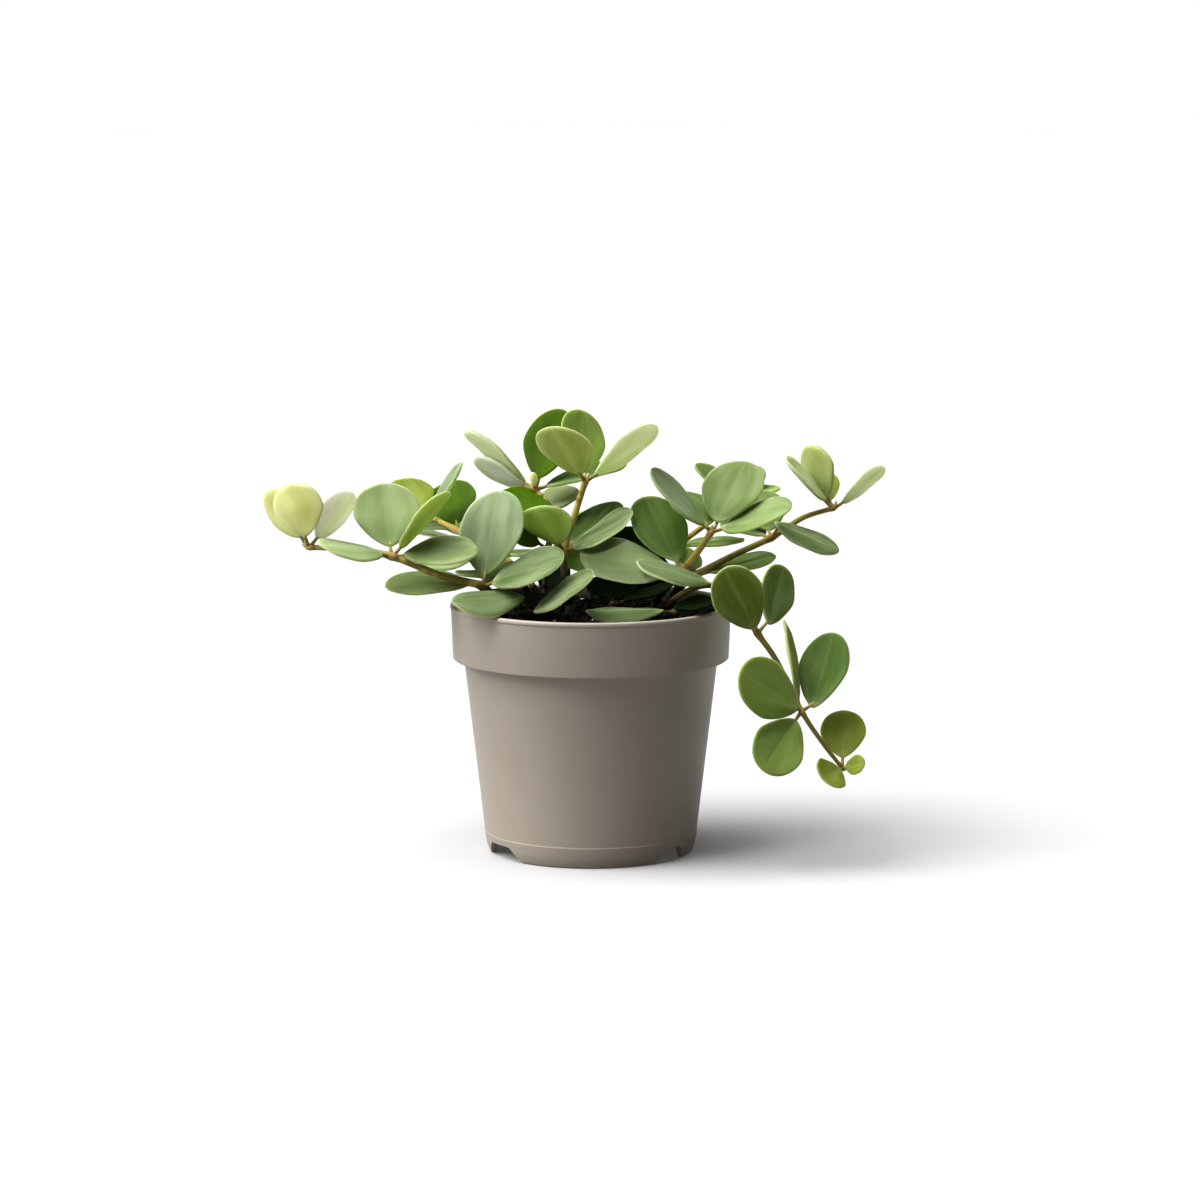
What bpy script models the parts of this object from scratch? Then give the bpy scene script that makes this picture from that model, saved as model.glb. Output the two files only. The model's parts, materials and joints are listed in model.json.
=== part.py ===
"""Potted peperomia: a small trailing house plant in a round plastic nursery pot.

Lengths are millimetres and meshes are written in metres. +Z is up, the floor is z = 0,
the pot's axis is the Z axis and the plant's front faces -Y. Angles are degrees.
"""
import math

import bmesh
import bpy
from mathutils import Matrix, Vector

MM = 0.001
GAP = 0.3                 # left between pieces that touch on the real plant

# Pot
POT_HEIGHT = 93.0
RIM_RADIUS = 52.5
WALL = 1.3
LIP_HEIGHT = 1.8
COLLAR_RADIUS = 51.4      # at the collar's lower edge
COLLAR_BOTTOM = 73.5
BODY_TOP = 70.5
BODY_RADIUS = 47.1        # under the collar
FOOT_RADIUS = 38.9        # where the taper meets the floor
FLOOR_BOTTOM = 6.9        # the floor plate is raised off the ground
FLOOR_TOP = 8.3
HUB_RADIUS = 14.0         # the middle of the floor plate goes down to the ground
POT_SIDES = 56
NOTCHES = ((-149.3, 13.0, 23.0), (-39.8, 9.8, 15.6), (85.0, 11.0, 18.0))    # bearing, roof, foot
NOTCH_HEIGHT = 5.2
DRAIN_COUNT = 6
DRAIN_RADIUS = 3.5
DRAIN_CIRCLE = 26.0

# Soil
SOIL_TOP = 88.0
SOIL_DOME = 1.6
SOIL_ROUGH = 0.7
SOIL_SIDES = 36
HOLE_BOTTOM = 75.0
ROOT_BOTTOM = HOLE_BOTTOM + GAP

# Leaves
BLADE = 1.2               # blade thickness
GRID_LONG = 4             # blade faces along and across
GRID_WIDE = 4
STALK_RADIUS = 0.55       # thinner than the blade, so that it ends inside it
STALK_LENGTH = 4.0
STALK_SIDES = 5
STALK_SINK = 1.5          # how far it runs into the blade
BUD = 1.4                 # the stem's tip past its last leaves
TIP_POWER = 1.9           # 2 would be an ellipse, less is more pointed
BASE_POWER = 1.45

# Each shoot: the points of its stem (x, y, z, stem radius), the first one in the soil, and its leaves:
# (stem point, bearing, lift, twist, length, width, cup, curl). Bearing 0 is right, 90 back, 180 left
# and 270 front. Lift is the midrib's slope, twist turns the blade about it. Cup is how far the edges
# stand above the midrib, as a share of the half width; curl is how far the tip bends up. A last
# (x, y, z) is the way from the stem to the blade's base, where the stalk isn't in line with the blade.
SHOOTS = {
    "shoot_left_long": {
        "stem": ((-32, -15, 88, 1.5), (-34, -16, 95, 1.5), (-40, -20, 102, 1.5), (-55, -21, 106, 1.4),
                 (-73, -20, 113, 1.4), (-88, -23, 116, 1.2), (-103, -25, 117, 1.0)),
        "leaves": (
            (2, 68, 58, -10, 34, 28, 0.10, 10),
            (2, 338, 20, 30, 31, 23, 0.10, 0),
            (2, 163, 4, -18, 34, 21, -0.05, -10),
            (2, 60, 15, 0, 20, 16, 0.05, 0),
            (4, 102, 50, -5, 27, 25, 0.12, 10),
            (4, 10, 47, -25, 28, 20, 0.15, 0),
            (4, 215, 16, -15, 27, 21, -0.10, -10),
            (4, 5, 4, 24, 28, 21, 0.10, 0),
            (6, 215, 70, 36, 21, 20, 0.15, 15),
            (6, 165, 50, 60, 22, 19, 0.15, 0),
            (6, 15, 50, -55, 22, 16, 0.15, 0),
        ),
    },
    "shoot_left_back": {
        "stem": ((-22, 15, 88, 1.3), (-26, 16, 98, 1.3), (-38, 18, 110, 1.2), (-50, 22, 117, 1.2),
                 (-62, 28, 122, 1.0)),
        "leaves": (
            (2, 200, -5, -15, 26, 20, -0.05, -5),
            (3, 100, 32, -15, 26, 19, 0.10, 0),
            (3, 140, 5, 0, 26, 20, -0.05, -8),
            (3, 20, 10, 0, 20, 15, 0.05, 0),
            (4, 117, 24, -4, 21, 18, 0.15, 10),
            (4, 350, 52, 24, 21, 11, 0.20, 10),
            (4, 195, 20, 0, 18, 14, 0.10, 0),
        ),
    },
    "shoot_centre_left": {
        "stem": ((-17, 9, 88, 1.3), (-17, 9, 100, 1.3), (-16, 8, 112, 1.2), (-14, 8, 125, 1.2),
                 (-21, 12, 134, 1.1)),
        "leaves": (
            (2, 205, 25, -35, 16, 14, -0.05, -5),
            (3, 160, 14, -25, 22, 18, 0.05, 0, (-1, 0, 1)),
            (3, 78, 24, 0, 17, 15, 0.05, 0),
            (4, 54, 57, 0, 29, 23, 0.12, 10),
            (4, 165, 35, 30, 31, 20, 0.15, 5),
            (4, 147, 14, 40, 25, 19, 0.10, 5),
            (4, 15, 14, 4, 33, 21, 0.10, 0),
            (4, 250, 70, 0, 6, 3, 0.20, 0, (0, -1, 1)),
        ),
    },
    "shoot_centre_top": {
        "stem": ((-8, -3, 88, 1.5), (-9, -2, 98, 1.5), (-10, 2, 112, 1.4), (-6, -2, 126, 1.3),
                 (-2, -5, 139, 1.2)),
        "leaves": (
            (2, 235, 45, 18, 22, 20, 0.15, 0),
            (2, 330, 27, 28, 29, 22, 0.08, 0),
            (2, 45, 30, 0, 28, 21, 0.05, 0),
            (4, 235, 43, 10, 27, 22, 0.15, 5),
            (4, 98, 50, 28, 27, 20, 0.12, 8),
            (4, 12, 33, -40, 30, 20, 0.12, 5),
        ),
    },
    "shoot_right_centre": {
        "stem": ((24, 15, 88, 1.5), (27, 14, 95, 1.5), (34, 12, 103, 1.5), (40, 8, 111, 1.4),
                 (45, 5, 119, 1.2)),
        "leaves": (
            (2, 130, 49, -8, 30, 24, 0.10, 5),
            (2, 195, 11, -34, 36, 26, 0.08, -5),
            (2, 80, 15, 30, 18, 13, 0.0, 0),
            (4, 197, 42, -28, 30, 21, 0.10, 5),
            (4, 50, 46, 8, 28, 26, 0.12, 10),
            (4, 336, 17, 24, 30, 22, 0.10, 5),
            (4, 115, 25, 0, 24, 19, 0.10, 0),
        ),
    },
    "shoot_right_long": {
        "stem": ((30, 24, 88, 1.4), (33, 22, 95, 1.4), (40, 18, 101, 1.4), (54, 21, 108, 1.3),
                 (68, 25, 114, 1.3), (80, 29, 121, 1.1), (92, 35, 124, 1.0)),
        "leaves": (
            (1, 175, 8, -62, 20, 18, 0.0, 0, (-1, 1, 3)),
            (2, 10, 12, 8, 27, 20, 0.05, 0),
            (2, 120, 0, 0, 18, 14, 0.0, 0),
            (4, 335, -18, 10, 28, 17, -0.05, -8, (1, -1, 6)),
            (4, 100, 31, -4, 24, 18, 0.10, 5),
            (4, 130, 8, 0, 22, 17, 0.05, 0),
            (6, 194, 42, -20, 24, 17, 0.15, 8),
            (6, 160, 61, 52, 22, 21, 0.18, 8),
            (6, 21, 31, -40, 22, 16, 0.15, 5),
            (6, 110, 40, 0, 16, 13, 0.15, 5),
        ),
    },
    "shoot_trailing": {
        "stem": ((26, -8, 88, 1.2), (31, -11, 96, 1.2), (39, -16, 101, 1.2), (46, -21, 102, 1.2),
                 (53, -25, 98, 1.2), (61, -31, 86, 1.2), (68, -33, 76, 1.1), (77, -35, 58, 1.0),
                 (85, -36, 46, 0.9), (92, -36, 37, 0.75)),
        "leaves": (
            (3, 189, 19, -14, 29, 19, -0.08, -5, (-2, 0, 1)),
            (5, 217, 58, -118, 29, 19.5, 0.08, 5, (-1, -3, 2)),
            (5, 70, 53, 60, 25, 17, 0.08, 5, (4, 1, 3)),
            (7, 205, 31, -70, 30, 23, 0.08, 5, (-1, -1, 1)),
            (7, 118, 65, 52, 31, 17, 0.12, 5),
            (7, 55, 58, 0, 30, 21, 0.08, 8, (4, 0, 1)),
            (7, 230, -40, -52, 26, 20, 0.08, 0),
            (9, 85, 55, 0, 19, 17, 0.12, 8),
            (9, 235, -10, -45, 12, 14, 0.15, 0, (-1, -1, 0)),
            (9, 320, 10, 60, 9, 8, 0.15, 0, (1, -1, 1)),
        ),
    },
    "shoot_front_right": {
        "stem": ((27, -24, 88, 1.2), (31, -30, 94, 1.2)),
        "leaves": (
            (1, 180, 2, -8, 29, 17, -0.28, -5),
            (1, 10, 10, 10, 16, 14, 0.05, 0, (-1, 0, 1)),
        ),
    },
    "shoot_front_left": {
        "stem": ((-20, -23, 88, 1.2), (-22, -28, 93, 1.2)),
        "leaves": (
            (1, 200, 2, -18, 28, 21, -0.25, -8, (-2, 1, 6)),
            (1, 335, 32, 27, 29, 19, 0.08, 0, (1, -3, 1)),
            (1, 85, 10, 0, 20, 15, 0.0, 0),
        ),
    },
    "shoot_front_centre": {
        "stem": ((6, -10, 88, 1.2), (8, -12, 94, 1.2)),
        "leaves": (
            (1, 20, 15, 0, 20, 15, 0.0, 0),
            (1, 90, 17, 0, 22, 20, 0.0, 0),
        ),
    },
    "shoot_back_left": {
        "stem": ((-20, 28, 88, 1.3), (-24, 33, 97, 1.3), (-34, 46, 104, 1.2), (-48, 58, 108, 1.0)),
        "leaves": (
            (1, 185, 8, 0, 24, 19, 0.0, -5),
            (1, 335, 8, 60, 12, 17, 0.0, 0),
            (2, 50, 0, 0, 24, 19, 0.0, -5),
            (2, 230, 15, 0, 20, 15, 0.0, 0),
            (3, 130, 35, 0, 22, 18, 0.12, 5),
            (3, 190, 15, 0, 25, 19, 0.05, -5),
            (3, 60, 15, 0, 25, 19, 0.05, -5),
        ),
    },
    "shoot_back_right": {
        "stem": ((14, 30, 88, 1.3), (18, 33, 98, 1.3), (32, 42, 108, 1.2), (46, 46, 118, 1.1),
                 (56, 47, 126, 1.0)),
        "leaves": (
            (1, 60, 5, 0, 22, 17, 0.0, -5),
            (2, 110, 10, 0, 26, 21, 0.0, -5),
            (2, 30, 5, 0, 26, 20, 0.0, -5),
            (2, 200, 2, -60, 24, 18, 0.0, 0),
            (4, 150, 34, 0, 18, 16, 0.12, 5),
            (4, 80, 22, 0, 22, 18, 0.12, 5),
            (4, 50, 8, 0, 18, 16, 0.05, 0),
        ),
    },
    "shoot_back_centre": {
        "stem": ((0, 30, 88, 1.3), (-1, 36, 96, 1.3), (-2, 48, 102, 1.2), (0, 64, 104, 1.0)),
        "leaves": (
            (1, 265, 50, 0, 22, 22, 0.0, 0),
            (2, 350, 15, 0, 20, 16, 0.0, 0),
            (3, 95, 10, 0, 26, 20, 0.05, -10),
            (3, 150, 15, 0, 22, 17, 0.05, -5),
            (3, 20, 15, 0, 24, 19, 0.05, -5),
            (3, 265, 45, 0, 20, 15, 0.10, 5),
        ),
    },
}

LEAF_GREEN = (0.133, 0.216, 0.102)
POT_TAUPE = (0.205, 0.175, 0.145)
PEAT_BROWN = (0.035, 0.024, 0.017)


def clear_scene():
    """Empty the file of objects, meshes, materials and collections."""
    for thing in list(bpy.data.objects):
        bpy.data.objects.remove(thing, do_unlink=True)
    for group in list(bpy.data.collections):
        bpy.data.collections.remove(group)


def new_collection(name):
    """Make a collection in the scene."""
    group = bpy.data.collections.new(name)
    bpy.context.scene.collection.children.link(group)
    return group


def material(name, colour, roughness, metallic=0.0):
    """Make a Principled material; colour is linear."""
    made = bpy.data.materials.new(name)
    made.use_nodes = True
    shader = made.node_tree.nodes["Principled BSDF"]
    shader.inputs["Base Color"].default_value = (*colour, 1.0)
    shader.inputs["Roughness"].default_value = roughness
    shader.inputs["Metallic"].default_value = metallic
    made.diffuse_color = (*colour, 1.0)
    return made


def mesh_object(name, bm, group):
    """Turn a bmesh in millimetres into an object in metres."""
    bmesh.ops.scale(bm, vec=(MM, MM, MM), verts=bm.verts)
    bmesh.ops.recalc_face_normals(bm, faces=bm.faces)
    mesh = bpy.data.meshes.new(name)
    bm.to_mesh(mesh)
    bm.free()
    made = bpy.data.objects.new(name, mesh)
    group.objects.link(made)
    return made


def boolean(target, kind, group):
    """Add a Boolean against every object of a collection."""
    step = target.modifiers.new(kind.lower(), "BOOLEAN")
    step.operation = kind
    step.operand_type = "COLLECTION"
    step.collection = group
    step.solver = "EXACT"
    return step


def apply_modifiers(target):
    """Replace the object's mesh by what its modifiers make of it."""
    bpy.context.view_layer.update()
    done = bpy.data.meshes.new_from_object(target.evaluated_get(bpy.context.evaluated_depsgraph_get()))
    target.modifiers.clear()
    target.data = done


def remove_collection(group):
    """Remove a collection of helpers with its objects."""
    for thing in list(group.objects):
        bpy.data.objects.remove(thing, do_unlink=True)
    bpy.data.collections.remove(group)


def pot_profile():
    """Half section of the pot as (radius, height), from the middle of its floor round to the hub."""
    inner_body = BODY_RADIUS - WALL
    inner_foot = FOOT_RADIUS + (BODY_RADIUS - FOOT_RADIUS) * FLOOR_TOP / BODY_TOP - WALL
    skirt_inner = FOOT_RADIUS - WALL
    return (
        (0.0, FLOOR_TOP),
        (inner_foot - 3.0, FLOOR_TOP),
        (inner_foot, FLOOR_TOP + 3.0),
        (inner_body, BODY_TOP),
        (COLLAR_RADIUS - WALL, COLLAR_BOTTOM + 1.0),
        (RIM_RADIUS - 1.0 - WALL, POT_HEIGHT - 1.0),
        (RIM_RADIUS - 1.6, POT_HEIGHT),
        (RIM_RADIUS - 0.5, POT_HEIGHT),
        (RIM_RADIUS, POT_HEIGHT - 0.6),
        (RIM_RADIUS, POT_HEIGHT - LIP_HEIGHT + 0.4),
        (RIM_RADIUS - 0.4, POT_HEIGHT - LIP_HEIGHT),
        (COLLAR_RADIUS, COLLAR_BOTTOM),
        (COLLAR_RADIUS - 0.5, COLLAR_BOTTOM - 0.4),
        (BODY_RADIUS, BODY_TOP),
        (FOOT_RADIUS + 0.2, 3.0),
        (FOOT_RADIUS - 0.5, 1.0),
        (FOOT_RADIUS - 1.0, 0.0),
        (skirt_inner - 1.2, 0.0),
        (skirt_inner - 0.8, FLOOR_BOTTOM),
        (HUB_RADIUS + 1.5, FLOOR_BOTTOM),
        (HUB_RADIUS, 0.0),
        (0.0, 0.0),
    )


def make_pot(group, cutters):
    """The pot: one turned wall and floor, less the skirt notches and the drain holes."""
    bm = bmesh.new()
    points = [bm.verts.new((radius, 0.0, height)) for radius, height in pot_profile()]
    for start, end in zip(points, points[1:]):
        bm.edges.new((start, end))
    mesh = bpy.data.meshes.new("pot")
    bmesh.ops.scale(bm, vec=(MM, MM, MM), verts=bm.verts)
    bm.to_mesh(mesh)
    bm.free()
    pot = bpy.data.objects.new("pot", mesh)
    group.objects.link(pot)
    turn = pot.modifiers.new("turn", "SCREW")
    turn.axis = "Z"
    turn.angle = math.tau
    turn.screw_offset = 0.0
    turn.steps = turn.render_steps = POT_SIDES
    turn.use_merge_vertices = True
    turn.merge_threshold = 0.00001
    turn.use_normal_calculate = True
    turn.use_smooth_shade = False

    for angle, roof_width, foot_width in NOTCHES:
        bm = bmesh.new()
        bmesh.ops.create_cube(bm, size=1.0)
        bmesh.ops.scale(bm, vec=(12.0, roof_width, 2.0 * NOTCH_HEIGHT), verts=bm.verts)
        low = [v for v in bm.verts if v.co.z < 0.0]
        bmesh.ops.scale(bm, vec=(1.0, 2.0 * foot_width / roof_width - 1.0, 1.0), verts=low)
        upright = [e for e in bm.edges if abs(e.verts[0].co.x - e.verts[1].co.x) > 1.0
                   and e.verts[0].co.z > 0.0]
        bmesh.ops.bevel(bm, geom=upright, offset=1.4, segments=3, profile=0.5, affect="EDGES")
        turn_to = Matrix.Rotation(math.radians(angle), 4, "Z") @ Matrix.Translation((FOOT_RADIUS, 0, 0))
        bmesh.ops.transform(bm, matrix=turn_to, verts=bm.verts)
        mesh_object("notch_cutter", bm, cutters)
    for index in range(DRAIN_COUNT):
        bm = bmesh.new()
        bmesh.ops.create_cone(bm, cap_ends=True, segments=16, radius1=DRAIN_RADIUS, radius2=DRAIN_RADIUS,
                              depth=10.0)
        place = Matrix.Rotation(math.tau * (index + 0.5) / DRAIN_COUNT, 4, "Z") @ Matrix.Translation(
            (DRAIN_CIRCLE, 0.0, FLOOR_TOP))
        bmesh.ops.transform(bm, matrix=place, verts=bm.verts)
        mesh_object("drain_cutter", bm, cutters)
    boolean(pot, "DIFFERENCE", cutters)
    pot.data.materials.append(material("matte taupe plastic", POT_TAUPE, 0.55))
    return pot


def soil_height(x, y):
    """Height of the soil's uneven top."""
    out = math.hypot(x, y) / RIM_RADIUS
    rough = math.sin(0.31 * x + 1.0) * math.cos(0.27 * y) + 0.6 * math.sin(0.53 * y - 0.41 * x)
    return SOIL_TOP + SOIL_DOME * (0.6 - out * out) + SOIL_ROUGH * rough * 0.6


def pot_inner_radius(height):
    """Radius of the pot's inside at a height above its floor."""
    wall = [(r, z) for r, z in pot_profile()[1:7]]
    for (r0, z0), (r1, z1) in zip(wall, wall[1:]):
        if z0 <= height <= z1 and z1 > z0:
            return r0 + (r1 - r0) * (height - z0) / (z1 - z0)
    return wall[-1][0]


def make_soil(group):
    """The soil: a turned body that follows the pot's inside, with a rough domed top and stem holes."""
    bm = bmesh.new()
    side = [(pot_inner_radius(z) - GAP, z) for z in (FLOOR_TOP + 3.2, BODY_TOP, COLLAR_BOTTOM + 1.0)]
    foot = (side[0][0] - 3.2, FLOOR_TOP + GAP)
    rings = [foot] + side
    loops = []
    for radius, height in rings:
        loops.append([bm.verts.new((radius * math.cos(math.tau * k / SOIL_SIDES),
                                    radius * math.sin(math.tau * k / SOIL_SIDES), height))
                      for k in range(SOIL_SIDES)])
    top_radius = pot_inner_radius(SOIL_TOP) - GAP - 0.1
    for share in (1.0, 0.94, 0.7, 0.4):
        loop = []
        for k in range(SOIL_SIDES):
            x = top_radius * share * math.cos(math.tau * k / SOIL_SIDES)
            y = top_radius * share * math.sin(math.tau * k / SOIL_SIDES)
            drop = 1.2 if share == 1.0 else 0.0
            loop.append(bm.verts.new((x, y, soil_height(x, y) - drop)))
        loops.append(loop)
    for low, high in zip(loops, loops[1:]):
        for k in range(SOIL_SIDES):
            n = (k + 1) % SOIL_SIDES
            bm.faces.new((low[k], low[n], high[n], high[k]))
    for loop, centre in ((loops[0], (0.0, 0.0, foot[1])), (loops[-1], (0.0, 0.0, soil_height(0.0, 0.0)))):
        hub = bm.verts.new(centre)
        for k in range(SOIL_SIDES):
            bm.faces.new((loop[k], loop[(k + 1) % SOIL_SIDES], hub))
    bmesh.ops.triangulate(bm, faces=bm.faces)
    soil = mesh_object("soil", bm, group)

    holes = new_collection("stem_holes")
    for shoot in SHOOTS.values():
        x, y, _, radius = shoot["stem"][0]
        bm = bmesh.new()
        bmesh.ops.create_cone(bm, cap_ends=True, segments=8, radius1=radius + GAP + 0.2,
                              radius2=radius + GAP + 0.2, depth=30.0)
        bmesh.ops.translate(bm, vec=(x, y, HOLE_BOTTOM + 15.0), verts=bm.verts)
        mesh_object("hole_cutter", bm, holes)
    boolean(soil, "DIFFERENCE", holes)
    apply_modifiers(soil)
    remove_collection(holes)
    soil.data.materials.clear()
    soil.data.materials.append(material("peat compost", PEAT_BROWN, 0.95))
    return soil


def stem_points(shoot):
    """The stem's smooth centre line as (Vector, radius): straight in the soil, then through its points."""
    given = [(Vector(p[:3]), p[3]) for p in shoot["stem"]]
    root, root_radius = given[0]
    line = [(Vector((root.x, root.y, ROOT_BOTTOM)), root_radius),
            (Vector((root.x, root.y, SOIL_TOP + 3.0)), root_radius)]
    way = [line[-1]] + given[1:]
    for i in range(len(way) - 1):
        p1, p2 = way[i][0], way[i + 1][0]
        p0 = way[i - 1][0] if i else p1 - Vector((0.0, 0.0, 4.0))
        p3 = way[i + 2][0] if i + 2 < len(way) else p2 + (p2 - p1)
        for step in (0.5, 1.0):
            a, b = step, step * step
            c = b * step
            spot = 0.5 * ((2.0 * p1) + (p2 - p0) * a + (2.0 * p0 - 5.0 * p1 + 4.0 * p2 - p3) * b
                          + (3.0 * p1 - 3.0 * p2 + p3 - p0) * c)
            line.append((spot, way[i][1] + (way[i + 1][1] - way[i][1]) * step))
    tip, tip_radius = line[-1]
    line.append((tip + BUD * (tip - line[-2][0]).normalized(), 0.7 * tip_radius))
    return line


def make_stem(name, shoot, group):
    """The stem as a tapered tube."""
    line = stem_points(shoot)
    curve = bpy.data.curves.new(name, "CURVE")
    curve.dimensions = "3D"
    curve.bevel_depth = MM
    curve.bevel_resolution = 1
    curve.use_fill_caps = True
    spline = curve.splines.new("POLY")
    spline.points.add(len(line) - 1)
    for point, (place, radius) in zip(spline.points, line):
        point.co = (*(place * MM), 1.0)
        point.radius = radius
    tube = bpy.data.objects.new(name + "_tube", curve)
    group.objects.link(tube)
    bpy.context.view_layer.update()
    mesh = bpy.data.meshes.new_from_object(tube.evaluated_get(bpy.context.evaluated_depsgraph_get()))
    bpy.data.objects.remove(tube, do_unlink=True)
    bpy.data.curves.remove(curve)
    bm = bmesh.new()
    bm.from_mesh(mesh)
    bpy.data.meshes.remove(mesh)
    bmesh.ops.remove_doubles(bm, verts=bm.verts, dist=1e-6)
    bmesh.ops.scale(bm, vec=(1.0 / MM, 1.0 / MM, 1.0 / MM), verts=bm.verts)
    return mesh_object(name, bm, group)


def leaf_turn(bearing, lift, twist):
    """Rotation that lays x along the midrib and z out of the blade's upper face."""
    return Matrix.Rotation(math.radians(bearing), 3, "Z") @ Matrix.Rotation(
        math.radians(-lift), 3, "Y") @ Matrix.Rotation(math.radians(twist), 3, "X")


def blade_point(along, across, length, width, cup, curl):
    """A point of the blade's middle surface; along and across run from -1 to 1 over a square."""
    p = along * math.sqrt(1.0 - 0.5 * across * across)
    q = across * math.sqrt(1.0 - 0.5 * along * along)
    edge = max(1.0 - p * p, 0.0)
    if edge > 1e-6:
        power = TIP_POWER if p > 0.0 else BASE_POWER
        share = (1.0 - abs(p) ** power) ** (1.0 / power) / math.sqrt(edge)
        q *= share * (1.0 + 0.10 * p)
    y = 0.5 * width * q
    rise = 0.5 * width * cup * q * q
    way = 0.5 * length * (1.0 + p)
    bend = math.radians(curl)
    if abs(bend) > 1e-3:
        turn = bend * way / length
        x = length * math.sin(turn) / bend
        z = length * (1.0 - math.cos(turn)) / bend
    else:
        turn, x, z = 0.0, way, 0.0
    return Vector((x - rise * math.sin(turn), y, z + rise * math.cos(turn)))


def make_leaf(name, root, leaf, group):
    """One leaf: a blade of even thickness and its short stalk, as two operands."""
    bearing, lift, twist, length, width, cup, curl = leaf[1:8]
    turn = leaf_turn(bearing, lift, twist)
    base = root + (Vector(leaf[8]) if len(leaf) > 8 else turn @ Vector((STALK_LENGTH, 0.0, 0.0)))

    bm = bmesh.new()
    rows = []
    for i in range(GRID_LONG + 1):
        along = 2.0 * i / GRID_LONG - 1.0
        row = []
        for j in range(GRID_WIDE + 1):
            across = 2.0 * j / GRID_WIDE - 1.0
            spot = blade_point(along, across, length, width, cup, curl)
            row.append(bm.verts.new(spot))
        rows.append(row)
    for low, high in zip(rows, rows[1:]):
        for j in range(GRID_WIDE):
            bm.faces.new((low[j], high[j], high[j + 1], low[j + 1]))
    bmesh.ops.triangulate(bm, faces=bm.faces)
    bmesh.ops.translate(bm, vec=(0.0, 0.0, 0.5 * BLADE), verts=bm.verts)
    bmesh.ops.solidify(bm, geom=bm.faces, thickness=BLADE)
    bmesh.ops.transform(bm, matrix=Matrix.Translation(base) @ turn.to_4x4(), verts=bm.verts)
    mesh_object(name + "_blade", bm, group)

    bm = bmesh.new()
    stalk = base + turn @ Vector((STALK_SINK, 0.0, 0.0)) - root
    reach = stalk.length
    bmesh.ops.create_cone(bm, cap_ends=True, segments=STALK_SIDES, radius1=STALK_RADIUS + 0.2,
                          radius2=STALK_RADIUS, depth=reach)
    aim = stalk.to_track_quat("Z", "Y").to_matrix().to_4x4()
    bmesh.ops.transform(bm, matrix=Matrix.Translation(root + 0.5 * stalk) @ aim, verts=bm.verts)
    mesh_object(name + "_stalk", bm, group)


def make_shoot(name, shoot, group):
    """A leafy shoot: stem, leaf stalks and blades joined into one body."""
    stem = make_stem(name, shoot, group)
    parts = new_collection(name + "_leaves")
    for index, leaf in enumerate(shoot["leaves"]):
        root = Vector(shoot["stem"][leaf[0]][:3])
        make_leaf(f"{name}_leaf_{index}", root, leaf, parts)
    boolean(stem, "UNION", parts)
    apply_modifiers(stem)
    remove_collection(parts)
    stem.data.materials.clear()
    stem.data.materials.append(material(name.replace("_", " ") + " leaf", LEAF_GREEN, 0.5))
    return stem


def main():
    """Build the pot, the soil and every shoot."""
    clear_scene()
    plant = new_collection("potted_peperomia")
    cutters = new_collection("cutters")
    make_pot(plant, cutters)
    make_soil(plant)
    for name, shoot in SHOOTS.items():
        make_shoot(name, shoot, plant)
    cutters.hide_render = True
    for thing in cutters.objects:
        thing.hide_render = True
        thing.display_type = "WIRE"


main()
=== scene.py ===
# %% [markdown]
# # A potted peperomia
# A small trailing house plant in a taupe nursery pot. The real plant has a moulded plastic pot, a bed
# of peat compost and thirteen fleshy shoots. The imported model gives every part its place; this script
# adds what the eye wants: thick round-edged leaves with veins and bloom, jointed stems, crumbly soil
# and a softly moulded pot. Lengths are in millimetres until a piece is finished.

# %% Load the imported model
import json
import math
import random

import bmesh
import bpy
from mathutils import Matrix, Vector, noise

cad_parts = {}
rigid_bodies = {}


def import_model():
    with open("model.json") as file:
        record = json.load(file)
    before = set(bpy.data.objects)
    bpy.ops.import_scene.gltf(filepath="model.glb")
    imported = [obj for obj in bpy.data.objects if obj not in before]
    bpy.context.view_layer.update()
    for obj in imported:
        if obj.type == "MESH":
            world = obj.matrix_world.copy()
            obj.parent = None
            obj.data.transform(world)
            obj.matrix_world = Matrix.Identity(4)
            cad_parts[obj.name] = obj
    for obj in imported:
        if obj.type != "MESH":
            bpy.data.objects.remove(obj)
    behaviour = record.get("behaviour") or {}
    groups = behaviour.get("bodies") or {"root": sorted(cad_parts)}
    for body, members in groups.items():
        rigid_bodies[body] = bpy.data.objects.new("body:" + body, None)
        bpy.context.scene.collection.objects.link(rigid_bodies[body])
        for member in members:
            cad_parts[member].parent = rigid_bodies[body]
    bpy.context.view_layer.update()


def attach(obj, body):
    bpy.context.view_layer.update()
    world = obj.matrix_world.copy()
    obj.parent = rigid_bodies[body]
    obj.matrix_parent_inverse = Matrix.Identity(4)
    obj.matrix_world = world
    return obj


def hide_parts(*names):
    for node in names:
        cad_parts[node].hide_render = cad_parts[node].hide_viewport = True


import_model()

MM = 0.001

# %% [markdown]
# ## Small helpers
# Colours are easiest to pick as hex values, but shaders want linear light, so one function turns one
# into the other. Another adds a shader node with its settings and links. The last one turns a finished
# bmesh into an object that rides on the model.

# %% Colour, node and piece helpers
def linear(hex_colour):
    """A hex colour as linear red, green, blue and alpha."""
    shares = [int(hex_colour[i:i + 2], 16) / 255.0 for i in (1, 3, 5)]
    return [c / 12.92 if c <= 0.04045 else ((c + 0.055) / 1.055) ** 2.4 for c in shares] + [1.0]


def mixed(first, second, share):
    """A colour between two linear ones."""
    return [a + (b - a) * share for a, b in zip(first, second)]


def add_node(tree, kind, values=None, links=None, **settings):
    """Add a node: settings are its own, values and links go to its inputs by name or number."""
    node = tree.nodes.new(kind)
    for name, value in settings.items():
        setattr(node, name, value)
    for name, value in (values or {}).items():
        node.inputs[name].default_value = value
    for name, socket in (links or {}).items():
        tree.links.new(socket, node.inputs[name])
    return node


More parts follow.
